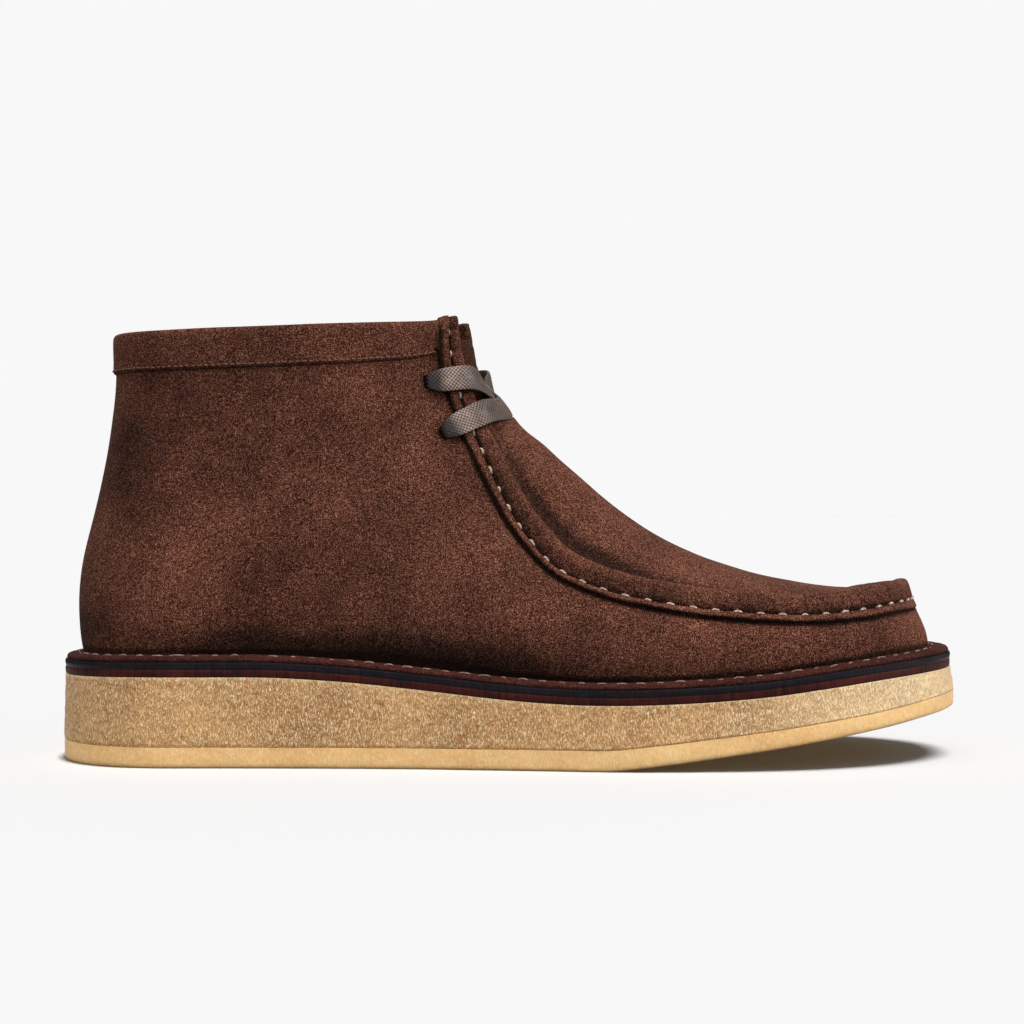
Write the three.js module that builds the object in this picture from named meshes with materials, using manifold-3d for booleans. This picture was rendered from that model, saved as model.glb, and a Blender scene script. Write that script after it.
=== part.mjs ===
// Moccasin-toe desert boot for the right foot, on a natural crepe wedge sole.
// Millimetres. +X points to the toe and +Z up, so the outer side of the foot is -Y.
import * as THREE from "three";
import { mergeVertices } from "three/addons/utils/BufferGeometryUtils.js";
import Module from "manifold-3d";

const wasm = await Module();
wasm.setup();

// Driving dimensions
const SOLE_LENGTH = 300;
const LEATHER = 2.0; // wall of the upper
const GAP = 0.3; // clearance between neighbouring pieces
const TREAD = 6.4; // bottom layer of crepe
const MIDSOLE = 2.2; // maroon leather board
const RUNNER = 2.0; // dark leather layer over it
const WELT = 1.6; // suede strip stitched round the upper
const INSOLE = 3.0; // how far the footbed stands above the welt
const CUFF_DROP = 12; // height of the folded collar band
const CUFF_LIFT = 0.9;
const LIP_WIDTH = 4.4; // turned edge of the quarter along the apron
const LIP_LIFT = 1.1;
const FACING_RISE = 0.8; // how far the facings stand above the collar
const TONGUE = 1.8;
const LACE_WIDTH = 8;
const LACE_THICK = 1.6;
const EYELET_RADIUS = 2.7;

// A smooth curve through the rows of a table, with no overshoot between rows.
// flat says whether it starts level and whether it ends level.
function track(rows, along, column, flat = [false, false]) {
  const x = rows.map((row) => row[along]);
  const y = rows.map((row) => row[column]);
  const last = x.length - 1;
  const slope = x.slice(1).map((at, i) => (y[i + 1] - y[i]) / (at - x[i]));
  const tangent = y.map((_, i) => {
    if (i === 0) return flat[0] ? 0 : slope[0];
    if (i === last) return flat[1] ? 0 : slope[last - 1];
    const [before, after] = [slope[i - 1], slope[i]];
    if (before * after <= 0) return 0;
    const most = 3 * Math.min(Math.abs(before), Math.abs(after));
    return Math.sign(before) * Math.min(Math.abs(before + after) / 2, most);
  });
  return (at) => {
    let i = 0;
    while (i < last - 1 && at > x[i + 1]) i++;
    const span = x[i + 1] - x[i];
    const t = THREE.MathUtils.clamp((at - x[i]) / span, 0, 1);
    const rise = t * t * (3 - 2 * t);
    return (
      y[i] * (1 - rise) +
      y[i + 1] * rise +
      span * (tangent[i] * t * (1 - t) ** 2 - tangent[i + 1] * t * t * (1 - t))
    );
  };
}

// Sole in plan: distance of each edge from the axis. The round ends are superellipse arcs.
const solePlan = [
  { x: -150, outer: 38.5, inner: 39.5 },
  { x: -90, outer: 39.5, inner: 39.5 },
  { x: -35, outer: 42.5, inner: 39.0 },
  { x: 5, outer: 48.0, inner: 43.5 },
  { x: 45, outer: 53.0, inner: 50.0 },
  { x: 68, outer: 52.5, inner: 53.0 },
  { x: 150, outer: 46.5, inner: 52.5 },
];
const HEEL_ARC = { start: -108, power: 2.2, tipY: 0.5 };
const TOE_ARC = { start: 72, power: 2.3, tipY: 6 };
const outerEdge = track(solePlan, "x", "outer");
const innerEdge = track(solePlan, "x", "inner");

// Heights of the sole along its length: floor clearance and the top of the crepe.
const soleSide = [
  { x: -150, ground: 0, deck: 28.2 },
  { x: -115, ground: 0, deck: 28.8 },
  { x: -85, ground: 0, deck: 28.8 },
  { x: -57, ground: 0, deck: 27.6 },
  { x: -28, ground: 0, deck: 24.8 },
  { x: -6, ground: 0, deck: 22.4 },
  { x: 10, ground: 0, deck: 21.1 },
  { x: 28, ground: 0, deck: 20.5 },
  { x: 46, ground: 1.7, deck: 20.8 },
  { x: 65, ground: 4.2, deck: 21.7 },
  { x: 82, ground: 6.6, deck: 23.1 },
  { x: 98, ground: 9.0, deck: 25.0 },
  { x: 120, ground: 12.4, deck: 27.5 },
  { x: 136, ground: 15.0, deck: 28.8 },
  { x: 150, ground: 16.6, deck: 29.5 },
];
const ground = track(soleSide, "x", "ground");
const deck = track(soleSide, "x", "deck");
const treadTop = (x) => ground(x) + TREAD - 1.2 * THREE.MathUtils.smoothstep(x, 30, 130);
const crepeTop = (x) => deck(x);
const midsoleTop = (x) => deck(x) + GAP + MIDSOLE;
const runnerTop = (x) => midsoleTop(x) + GAP + RUNNER;
const weltTop = (x) => runnerTop(x) + GAP + WELT;
const footZ = (x) => weltTop(x) + GAP;
const raised = (height, by) => (x) => height(x) + by;

const same = (inset) => ({ heel: inset, side: inset, toe: inset });
const FEATHER = { heel: 6.4, side: 5.5, toe: 8.6 }; // where the upper meets the welt
const within = (inset, by) => ({ heel: inset.heel + by, side: inset.side + by, toe: inset.toe + by });
const WELT_INSIDE = within(FEATHER, LEATHER);
const FOOTBED = within(FEATHER, LEATHER + 4 * GAP);

// One edge of the sole at x, moved in from the true edge. side is -1 outside, 1 inside.
function edgeY(x, side, inset) {
  const heelEnd = -SOLE_LENGTH / 2 + inset.heel;
  const toeEnd = SOLE_LENGTH / 2 - inset.toe;
  const arc = (t, power) => (1 - Math.min(1, Math.max(0, t)) ** power) ** (1 / power);
  const heel = arc((HEEL_ARC.start - x) / (HEEL_ARC.start - heelEnd), HEEL_ARC.power);
  const toe = arc((x - TOE_ARC.start) / (toeEnd - TOE_ARC.start), TOE_ARC.power);
  const tip = x < 0 ? HEEL_ARC.tipY : TOE_ARC.tipY;
  const full = side * ((side < 0 ? outerEdge(x) : innerEdge(x)) - inset.side);
  return tip + (full - tip) * heel * toe;
}

// The sole's outline as a loop: heel tip, outer side, toe tip, inner side.
function outline(inset, stations) {
  const heelEnd = -SOLE_LENGTH / 2 + inset.heel;
  const toeEnd = SOLE_LENGTH / 2 - inset.toe;
  const loop = [];
  for (let i = 0; i < 2 * stations; i++) {
    const turn = (Math.PI * i) / stations;
    const x = heelEnd + ((toeEnd - heelEnd) * (1 - Math.cos(turn))) / 2;
    loop.push({ x, y: edgeY(x, i < stations ? -1 : 1, inset) });
  }
  return loop;
}

const geometryOf = (points, faces) =>
  new THREE.BufferGeometry()
    .setAttribute("position", new THREE.Float32BufferAttribute(points.flat(), 3))
    .setIndex(faces.flat());

// A sole layer through rings of the outline, each with its inset and its height along x.
function layer(rings, stations = 36) {
  const count = 2 * stations;
  const points = rings.flatMap(({ inset, height }) =>
    outline(inset, stations).map(({ x, y }) => [x, y, height(x)]),
  );
  const faces = [];
  for (let ring = 0; ring + 1 < rings.length; ring++)
    for (let i = 0; i < count; i++) {
      const [a, b] = [ring * count + i, ring * count + ((i + 1) % count)];
      faces.push([a, b, b + count], [a, b + count, a + count]);
    }
  const cap = (base, up) => {
    for (let i = 0; i < stations; i++) {
      const [p, q] = [base + i, base + i + 1];
      const [r, s] = [base + ((count - i) % count), base + count - i - 1];
      if (i < stations - 1) faces.push(up ? [p, q, s] : [p, s, q]);
      if (i > 0) faces.push(up ? [p, s, r] : [p, r, s]);
    }
  };
  cap(0, false);
  cap((rings.length - 1) * count, true);
  return geometryOf(points, faces);
}

function solid(geometry) {
  const bare = geometry.clone();
  for (const name of ["normal", "uv"]) bare.deleteAttribute(name);
  const merged = mergeVertices(bare, 1e-4);
  return new wasm.Manifold(
    new wasm.Mesh({
      numProp: 3,
      vertProperties: Float32Array.from(merged.attributes.position.array),
      triVerts: Uint32Array.from(merged.index.array),
    }),
  );
}

function geometryOfSolid(shape) {
  const mesh = shape.getMesh();
  return new THREE.BufferGeometry()
    .setAttribute("position", new THREE.BufferAttribute(mesh.vertProperties, 3))
    .setIndex(new THREE.BufferAttribute(mesh.triVerts, 1));
}

// The quarter's ribs from heel back to toe. Each is a Bezier curve from a foot on the feather
// line to a top on the collar or the apron seam. Its handles lean out, up, down and back.
// rollWide and rollHigh size the apron's rolled edge, and midX is the apron's middle there.
const ribs = [
  { footX: -143.4, topX: -132.9, topY: 0, topZ: 141.0, lowOut: 6.4, lowUp: 30, topOut: -3, topDown: 43, topBack: 0 },
  { footX: -137, topX: -128, topY: 15.5, topZ: 140.9, lowOut: 6.0, lowUp: 30, topOut: -3, topDown: 42, topBack: 0 },
  { footX: -118, topX: -113, topY: 27, topZ: 140.8, lowOut: 5.5, lowUp: 31, topOut: -3, topDown: 40, topBack: 0 },
  { footX: -98, topX: -92, topY: 32, topZ: 141.2, lowOut: 5.0, lowUp: 32, topOut: -2.5, topDown: 38, topBack: 0 },
  { footX: -78, topX: -68, topY: 32, topZ: 142.0, lowOut: 5.0, lowUp: 33, topOut: -1.5, topDown: 36, topBack: 0 },
  { footX: -62, topX: -47, topY: 27.5, topZ: 143.0, lowOut: 5.0, lowUp: 34, topOut: 0, topDown: 34, topBack: 4 },
  { footX: -50, topX: -28, topY: 19, topZ: 144.2, lowOut: 5.0, lowUp: 36, topOut: 4, topDown: 33, topBack: 10 },
  { footX: -44, topX: -20.4, topY: 14, topZ: 145.2, lowOut: 5.0, lowUp: 36, topOut: 6, topDown: 32, topBack: 14 },
  { footX: -36, topX: -18.4, topY: 14.2, topZ: 130, lowOut: 5.0, lowUp: 34, topOut: 8, topDown: 26, topBack: 16 },
  { footX: -27, topX: -13.6, topY: 16, topZ: 114, lowOut: 5.0, lowUp: 31, topOut: 10, topDown: 20, topBack: 15 },
  { footX: -20, topX: -9.6, topY: 19.5, topZ: 104.2, lowOut: 5.0, lowUp: 28, topOut: 11, topDown: 16, topBack: 13 },
  { footX: -8, topX: -1.4, topY: 25.5, topZ: 86.2, lowOut: 5.0, lowUp: 23, topOut: 11, topDown: 11, topBack: 9 },
  { footX: 3, topX: 6.1, topY: 30, topZ: 73.9, lowOut: 4.8, lowUp: 19, topOut: 10, topDown: 8, topBack: 6 },
  { footX: 16, topX: 16, topY: 34, topZ: 63.4, lowOut: 4.5, lowUp: 14.5, topOut: 8.5, topDown: 5.5, topBack: 4 },
  { footX: 32, topX: 29.3, topY: 38, topZ: 57.3, lowOut: 4.0, lowUp: 11.5, topOut: 7, topDown: 4, topBack: 2 },
  { footX: 47, topX: 43, topY: 41, topZ: 53.8, lowOut: 3.8, lowUp: 9.8, topOut: 6, topDown: 3.3, topBack: 1 },
  { footX: 68, topX: 64, topY: 43.5, topZ: 50.8, lowOut: 3.4, lowUp: 8, topOut: 5, topDown: 3, topBack: 0 },
  { footX: 97, topX: 92.2, topY: 42.5, topZ: 49, lowOut: 2.6, lowUp: 7, topOut: 4, topDown: 3, topBack: 0 },
  { footX: 118, topX: 112, topY: 36.5, topZ: 50.5, lowOut: 1.6, lowUp: 6.5, topOut: 3, topDown: 4, topBack: 0 },
  { footX: 130, topX: 123, topY: 28.5, topZ: 52.2, lowOut: 1.0, lowUp: 6, topOut: 2.3, topDown: 4.8, topBack: 0 },
  { footX: 138, topX: 131.5, topY: 17, topZ: 52.8, lowOut: 0.5, lowUp: 5.6, topOut: 1.9, topDown: 5, topBack: 0 },
  { footX: 141.4, topX: 136.2, topY: 0, topZ: 53, lowOut: 0.3, lowUp: 5.5, topOut: 1.8, topDown: 5, topBack: 0 },
].map((row, rib) => ({ rib, ...row }));
const CORNER = 7; // rib at the top of the facing
const THROAT = 9; // rib at the foot of the throat
const TOE_CORNER = 18; // rib where the apron turns round the toe
const TOE = ribs.length - 1;
const LOOP = 2 * TOE;
const AHEAD = 5.0; // how far the inner facing stands in front of the outer one

// Handles run smoothly from heel to toe. The top line turns a corner between collar and seam.
const ribColumn = (name) => track(ribs, "rib", name, [true, true]);
function topColumn(name, flat) {
  const collar = track(ribs.slice(0, CORNER + 1), "rib", name, [flat, false]);
  const seam = track(ribs.slice(CORNER), "rib", name, [false, flat]);
  return (rib) => (rib < CORNER ? collar(rib) : seam(rib));
}
const ribColumns = {
  footX: ribColumn("footX"),
  lowOut: ribColumn("lowOut"),
  lowUp: ribColumn("lowUp"),
  topOut: ribColumn("topOut"),
  topDown: ribColumn("topDown"),
  topBack: ribColumn("topBack"),
  topX: topColumn("topX", true),
  topY: topColumn("topY", false),
  topZ: topColumn("topZ", true),
};

// Lateral shift of the upper's middle line, and the apron's middle line and rolled edge.
const shift = track(
  [
    { x: -134, y: 0 },
    { x: -30, y: -1 },
    { x: 40, y: 0 },
    { x: 90, y: 2.5 },
    { x: 137, y: 6 },
  ],
  "x",
  "y",
);
const crown = track(
  [
    { x: -12, z: 146 },
    { x: -6.5, z: 131 },
    { x: 0.5, z: 115 },
    { x: 12.5, z: 103.3 },
    { x: 28.7, z: 88.8 },
    { x: 44.9, z: 76.3 },
    { x: 61, z: 67.8 },
    { x: 77.4, z: 62.1 },
    { x: 93.6, z: 58.7 },
    { x: 109.8, z: 56.3 },
    { x: 127.5, z: 55.2 },
  ],
  "x",
  "z",
);
const apronRows = [
  { rib: 7, midX: -12, rollWide: 4.4, rollHigh: 1.8, recess: 4.8, tongueEdge: -0.22 },
  { rib: 8, midX: -6.5, rollWide: 4.6, rollHigh: 1.9, recess: 4.4, tongueEdge: -0.2 },
  { rib: 9, midX: 3.5, rollWide: 5.0, rollHigh: 2.4, recess: 3.2, tongueEdge: 0.1 },
  { rib: 10, midX: 8, rollWide: 6.5, rollHigh: 3.2, recess: 2.4, tongueEdge: 0.14 },
  { rib: 11, midX: 14.5, rollWide: 7.5, rollHigh: 4.0, recess: 2.4, tongueEdge: 0.2 },
  { rib: 13, midX: 31.5, rollWide: 9.0, rollHigh: 5.0, recess: 2.4, tongueEdge: 0.2 },
  { rib: 16, midX: 78.5, rollWide: 9.5, rollHigh: 5.2, recess: 2.4, tongueEdge: 0.2 },
  { rib: 18, midX: 108, rollWide: 9.5, rollHigh: 5.0, recess: 2.4, tongueEdge: 0.2 },
  { rib: 21, midX: 112, rollWide: 9.0, rollHigh: 4.8, recess: 2.4, tongueEdge: 0.2 },
];
const midX = track(apronRows, "rib", "midX");
const rollWide = track(apronRows, "rib", "rollWide");
const rollHigh = track(apronRows, "rib", "rollHigh");
const tongueRecess = track(apronRows, "rib", "recess");
const tongueEdge = track(apronRows, "rib", "tongueEdge");

// A place round the upper: 0 at the heel, TOE at the toe by the outer side, LOOP at the heel again.
const place = (around) => {
  const at = ((around % LOOP) + LOOP) % LOOP;
  return at <= TOE ? { rib: at, side: -1 } : { rib: LOOP - at, side: 1 };
};

function footPoint(around) {
  const { rib, side } = place(around);
  const x = ribColumns.footX(rib);
  return new THREE.Vector3(x, edgeY(x, side, FEATHER), footZ(x));
}

function topPoint(around) {
  const { rib, side } = place(around);
  const ahead = side > 0 ? AHEAD * Math.exp(-(((rib - CORNER - 1) / 3.2) ** 2)) : 0;
  const x = ribColumns.topX(rib) + ahead;
  return new THREE.Vector3(x, shift(x) + side * ribColumns.topY(rib), ribColumns.topZ(rib));
}

const STEP = 0.04; // small step for slopes taken along a curve
const slopeOf = (curve, at, low = -Infinity, high = Infinity) =>
  curve(Math.min(at + STEP, high))
    .sub(curve(Math.max(at - STEP, low)))
    .normalize();
const seamSlope = (around) => slopeOf(topPoint, around, CORNER, LOOP - CORNER);

function ribCurve(around) {
  const { rib } = place(around);
  const value = (name) => ribColumns[name](rib);
  const foot = footPoint(around);
  const top = topPoint(around);
  const along = slopeOf(footPoint, around).setZ(0).normalize();
  const out = new THREE.Vector3(along.y, -along.x, 0);
  const low = foot.clone().addScaledVector(out, value("lowOut"));
  low.z += value("lowUp");
  const high = top.clone().addScaledVector(out, value("topOut"));
  high.x -= value("topBack");
  high.z -= value("topDown");
  return new THREE.CubicBezierCurve3(foot, low, high, top);
}

// Outside of the quarter: up is 0 at the welt and 1 at the collar or the apron seam.
const wallPoint = (around, up) => ribCurve(around).getPointAt(up);

function wallNormal(around, up) {
  const across = slopeOf((at) => wallPoint(at, up), around);
  const low = Math.max(0, up - STEP);
  const high = Math.min(1, up + STEP);
  const rise = wallPoint(around, high).sub(wallPoint(around, low));
  return across.cross(rise).normalize();
}

// Frame on the apron seam: along it, across it towards the apron's middle, and out of the upper.
function seamFrame(around) {
  const { rib } = place(around);
  const top = topPoint(around);
  const x = midX(rib);
  const along = seamSlope(around);
  const across = new THREE.Vector3(x, shift(x), crown(x)).sub(top);
  across.addScaledVector(along, -across.dot(along)).normalize();
  return { top, along, across, out: along.clone().cross(across) };
}

function seamPoint(around, across, out) {
  const frame = seamFrame(around);
  return frame.top.addScaledVector(frame.across, across).addScaledVector(frame.out, out);
}

// The apron inside its rolled edge. row is a rib number, and t runs from the outer leg to the inner.
const TRAY_SINK = 0.2;
const CROWN_POWER = 2.2; // how flat the apron is across
const FADE_POWER = 16; // how late the middle line gives way to the toe edge
const trayEdge = (around) => {
  const { rib } = place(around);
  return seamPoint(around, rollWide(rib), TRAY_SINK * rollHigh(rib));
};
function apronPoint(row, t) {
  const outer = trayEdge(row);
  const inner = trayEdge(LOOP - row);
  const s = Math.max(0, (row - THROAT) / (TOE_CORNER - THROAT));
  const chord = (at) => outer.clone().lerp(inner, at);
  const bow = (at) => {
    const corner = trayEdge(TOE_CORNER).lerp(trayEdge(LOOP - TOE_CORNER), at);
    const round = trayEdge(TOE_CORNER + at * (LOOP - 2 * TOE_CORNER));
    return round.sub(corner).multiplyScalar(s ** 3);
  };
  const base = (at) => (s > 0 && at >= 0 && at <= 1 ? chord(at).add(bow(at)) : chord(at));
  const x = midX(Math.min(row, TOE_CORNER));
  const middle = new THREE.Vector3(x, shift(x), crown(x)).sub(base(0.5));
  const weight = (1 - Math.abs(2 * t - 1) ** CROWN_POWER) * (1 - s ** FADE_POWER);
  return base(t).addScaledVector(middle, weight);
}

// Builds a closed sheet from a grid of points and one of offsets on its other face.
function sheet(front, back, loop = false) {
  const rows = front.length;
  const columns = front[0].length;
  const points = [...front.flat(), ...back.flat()].map((point) => point.toArray());
  const other = rows * columns;
  const at = (row, column) => row * columns + (column % columns);
  const faces = [];
  const quad = (a, b, c, d) => faces.push([a, b, c], [a, c, d]);
  const spans = loop ? columns : columns - 1;
  for (let i = 0; i + 1 < rows; i++)
    for (let j = 0; j < spans; j++) {
      const [a, b, c, d] = [at(i, j), at(i, j + 1), at(i + 1, j + 1), at(i + 1, j)];
      quad(a, b, c, d);
      quad(a + other, d + other, c + other, b + other);
    }
  for (let j = 0; j < spans; j++) {
    quad(at(0, j + 1), at(0, j), at(0, j) + other, at(0, j + 1) + other);
    const [a, b] = [at(rows - 1, j), at(rows - 1, j + 1)];
    quad(a, b, b + other, a + other);
  }
  if (!loop)
    for (let i = 0; i + 1 < rows; i++) {
      quad(at(i, 0), at(i + 1, 0), at(i + 1, 0) + other, at(i, 0) + other);
      const [a, b] = [at(i, columns - 1), at(i + 1, columns - 1)];
      quad(b, a, a + other, b + other);
    }
  return solid(geometryOf(points, faces));
}

const range = (from, to, count) =>
  Array.from({ length: count + 1 }, (_, i) => from + ((to - from) * i) / count);

const moved = (point, normal, by) => point.clone().addScaledVector(normal, by);

// The quarter's wall, one loop round the foot.
function quarterWall() {
  const arounds = range(0, LOOP, 2 * LOOP).slice(0, -1);
  const ups = [0, 0.1, 0.22, 0.36, 0.5, 0.64, 0.78, 0.9, 1];
  const front = ups.map((up) => arounds.map((around) => wallPoint(around, up)));
  const back = ups.map((up, i) =>
    arounds.map((around, j) => moved(front[i][j], wallNormal(around, up), -LEATHER)),
  );
  return sheet(front, back, true);
}

// A strip raised on the wall below its top edge: the collar band and the turned lip.
function raisedStrip(arounds, width, lift) {
  const STRIP_SINK = -1.0;
  const STRIP_ROWS = 3;
  const columns = arounds.map((around) => {
    const length = ribCurve(around).getLength();
    return range(1 - width(around) / length, 1, STRIP_ROWS).map((up) => {
      const point = wallPoint(around, up);
      const normal = wallNormal(around, up);
      return [moved(point, normal, lift), moved(point, normal, STRIP_SINK)];
    });
  });
  const grid = (face) =>
    range(0, STRIP_ROWS, STRIP_ROWS).map((row) => columns.map((column) => column[row][face]));
  return sheet(grid(0), grid(1));
}

// The lip keeps its width square to the seam, though the ribs meet the seam at a slant.
// Round the corner of the collar it narrows to nothing.
const LIP_RUNOUT = 0.8;
function lipDrop(around) {
  const { rib, side } = place(around);
  const from = Math.max(rib, CORNER);
  const nearest = side < 0 ? from : LOOP - from;
  const end = ribCurve(nearest).getTangentAt(1);
  const drop = LIP_WIDTH / Math.max(0.35, end.cross(seamSlope(nearest)).length());
  return drop * Math.min(1, (rib - CORNER + LIP_RUNOUT) / LIP_RUNOUT + 0.05);
}

// The apron's rolled edge, swept along the seam from one facing to the other.
function rolledEdge() {
  const SINK = 2.2;
  const section = (wide, high) => [
    [-0.9, -SINK],
    [-0.7, 0.3],
    [0.3, 0.5 * high],
    [0.2 * wide, 0.9 * high],
    [0.45 * wide, high],
    [0.72 * wide, 0.72 * high],
    [wide, 0.25 * high],
    [wide + 1.1, -0.9],
    [wide + 0.5, -SINK],
  ];
  const ring = (around, beyond) => {
    const { rib } = place(around);
    return section(rollWide(rib), rollHigh(rib)).map(([across, out]) =>
      moved(seamPoint(around, across, out), seamSlope(around), beyond).toArray(),
    );
  };
  const rings = [
    ring(CORNER, -FACING_RISE),
    ...range(CORNER, LOOP - CORNER, 4 * (TOE - CORNER)).map((around) => ring(around, 0)),
    ring(LOOP - CORNER, FACING_RISE),
  ];
  const count = rings[0].length;
  const faces = [];
  for (let i = 0; i + 1 < rings.length; i++)
    for (let j = 0; j < count; j++) {
      const [a, b] = [i * count + j, i * count + ((j + 1) % count)];
      faces.push([a, b + count, b], [a, a + count, b + count]);
    }
  const last = (rings.length - 1) * count;
  for (const [i, j, k] of THREE.ShapeUtils.triangulateShape(
    rings[0].map((_, n) => new THREE.Vector2(...section(rollWide(CORNER), rollHigh(CORNER))[n])),
    [],
  )) {
    faces.push([i, k, j]);
    faces.push([last + i, last + j, last + k]);
  }
  return solid(geometryOf(rings.flat(), faces));
}

function gridNormals(grid) {
  const rows = grid.length - 1;
  const columns = grid[0].length - 1;
  return grid.map((row, i) =>
    row.map((_, j) => {
      const across = grid[i][Math.min(j + 1, columns)].clone().sub(grid[i][Math.max(j - 1, 0)]);
      const up = grid[Math.min(i + 1, rows)][j].clone().sub(grid[Math.max(i - 1, 0)][j]);
      return up.cross(across).normalize();
    }),
  );
}

// A sheet that follows the apron, sunk below it and with its own thickness.
function apronSheet(rows, edgeOf, sinkOf, thick, spans) {
  const surface = rows.map((row) =>
    range(edgeOf(row), 1 - edgeOf(row), spans).map((t) => apronPoint(row, t)),
  );
  const normals = gridNormals(surface);
  const face = (extra) =>
    surface.map((line, i) =>
      line.map((point, j) => moved(point, normals[i][j], -sinkOf(rows[i]) - extra)),
    );
  return sheet(face(thick), face(0));
}

// A hole square through the wall, where an eyelet is punched.
const eyelets = [
  { name: "lower_outer", x: -21.3, z: 107.4, side: -1 },
  { name: "upper_outer", x: -26.8, z: 124.2, side: -1 },
  { name: "lower_inner", x: -19.3, z: 107.4, side: 1 },
  { name: "upper_inner", x: -23.8, z: 124.2, side: 1 },
];

// The place on the wall at a given x and z, by stepping towards it.
function wallAt({ x, z, side }) {
  let [rib, up] = [CORNER + 1, 0.9];
  const at = (r, u) => wallPoint(side < 0 ? r : LOOP - r, u);
  for (let turn = 0; turn < 12; turn++) {
    const here = at(rib, up);
    const byRib = at(rib + STEP, up).sub(here).divideScalar(STEP);
    const byUp = here.clone().sub(at(rib, up - STEP)).divideScalar(STEP);
    const det = byRib.x * byUp.z - byRib.z * byUp.x;
    const [dx, dz] = [x - here.x, z - here.z];
    rib += (dx * byUp.z - dz * byUp.x) / det;
    up = Math.min(1, up + (byRib.x * dz - byRib.z * dx) / det);
  }
  const around = side < 0 ? rib : LOOP - rib;
  return { point: wallPoint(around, up), normal: wallNormal(around, up) };
}

function eyeletPunch(spot) {
  const PUNCH_LENGTH = 14;
  const PUNCH_SIDES = 14;
  const { point, normal } = wallAt(spot);
  const punch = new THREE.CylinderGeometry(EYELET_RADIUS, EYELET_RADIUS, PUNCH_LENGTH, PUNCH_SIDES);
  punch.applyQuaternion(
    new THREE.Quaternion().setFromUnitVectors(new THREE.Vector3(0, 1, 0), normal),
  );
  punch.translate(...point.toArray());
  return solid(punch);
}

function upperSolid() {
  const cuff = raisedStrip(range(LOOP - CORNER + 0.7, LOOP + CORNER - 0.7, 27), () => CUFF_DROP, CUFF_LIFT);
  const lip = raisedStrip(
    range(CORNER - LIP_RUNOUT, LOOP - CORNER + LIP_RUNOUT, 54),
    lipDrop,
    LIP_LIFT,
  );
  const apron = apronSheet(range(THROAT, TOE_CORNER, 16), () => 0, () => 0, LEATHER, 12);
  const whole = [cuff, lip, rolledEdge(), apron].reduce((sum, next) => sum.add(next), quarterWall());
  return eyelets.map(eyeletPunch).reduce((rest, punch) => rest.subtract(punch), whole);
}

// One flat lace strip: out of one eyelet, over both rolled edges and into the eyelet across.
function laceStrip({ from, to, fromRib, toRib, middle }) {
  const CLEAR = LACE_THICK / 2 + GAP;
  const MIDDLE_OUT = new THREE.Vector3(0.86, 0, 0.51);
  const overRoll = ({ side }, rib) => {
    const around = side < 0 ? rib : LOOP - rib;
    const lift = rollHigh(rib) + CLEAR + 1.4;
    const point = seamPoint(around, 0.45 * rollWide(rib), lift);
    return { point, out: seamFrame(around).out, width: LACE_WIDTH };
  };
  const outOfHole = (spot, next) => {
    const { point, normal } = wallAt(spot);
    const towards = next.clone().sub(point).projectOnPlane(normal).normalize();
    const knot = (ahead, above, width, lean) => ({
      point: moved(moved(point, towards, ahead), normal, above),
      out: normal.clone().addScaledVector(towards, -lean).normalize(),
      width,
    });
    return [knot(-0.4, -1.4, 3.0, 6), knot(0, 1.3, 3.6, 1.6), knot(3.2, 3.3, 6.2, 0.3)];
  };
  const first = overRoll(from, fromRib);
  const second = overRoll(to, toRib);
  const knots = [
    ...outOfHole(from, first.point),
    first,
    { point: middle, out: MIDDLE_OUT, width: LACE_WIDTH },
    second,
    ...outOfHole(to, second.point).reverse(),
  ];
  const STATIONS_EACH = 4;
  const path = new THREE.CatmullRomCurve3(knots.map(({ point }) => point), false, "centripetal");
  const stations = STATIONS_EACH * (knots.length - 1);
  const thin = LACE_THICK / 2;
  const rings = range(0, stations, stations).map((station) => {
    const at = station / STATIONS_EACH;
    const i = Math.min(knots.length - 2, Math.floor(at));
    const centre = path.getPoint(station / stations);
    const along = path.getTangent(station / stations);
    const out = knots[i].out.clone().lerp(knots[i + 1].out, at - i);
    const half = THREE.MathUtils.lerp(knots[i].width, knots[i + 1].width, at - i) / 2;
    const across = out.cross(along).normalize();
    const face = along.clone().cross(across);
    return [
      [-half, 0],
      [-half + 0.9, -thin],
      [half - 0.9, -thin],
      [half, 0],
      [half - 0.9, thin],
      [-half + 0.9, thin],
    ].map(([side, lift]) => moved(moved(centre, across, side), face, lift).toArray());
  });
  const count = rings[0].length;
  const faces = [];
  for (let i = 0; i < stations; i++)
    for (let j = 0; j < count; j++) {
      const [a, b] = [i * count + j, i * count + ((j + 1) % count)];
      faces.push([a, b, b + count], [a, b + count, a + count]);
    }
  const last = stations * count;
  for (let j = 1; j + 1 < count; j++) {
    faces.push([0, j + 1, j]);
    faces.push([last, last + j, last + j + 1]);
  }
  return solid(geometryOf(rings.flat(), faces));
}

function laceSolid() {
  const [lowerOuter, upperOuter, lowerInner, upperInner] = eyelets;
  const over = laceStrip({
    from: lowerOuter,
    to: upperInner,
    fromRib: 9.15,
    toRib: 8.3,
    middle: new THREE.Vector3(-0.7, 0, 117.4),
  });
  const under = laceStrip({
    from: upperOuter,
    to: lowerInner,
    fromRib: 8.3,
    toRib: 8.95,
    middle: new THREE.Vector3(-1.9, 0, 117.2),
  });
  return over.add(under);
}

const boot = new THREE.Group();
function add(name, shape, color, roughness) {
  const geometry = shape.isBufferGeometry ? shape : geometryOfSolid(shape);
  const material = new THREE.MeshStandardMaterial({ color, roughness, metalness: 0 });
  const mesh = new THREE.Mesh(geometry, material);
  mesh.name = name;
  boot.add(mesh);
}

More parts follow.
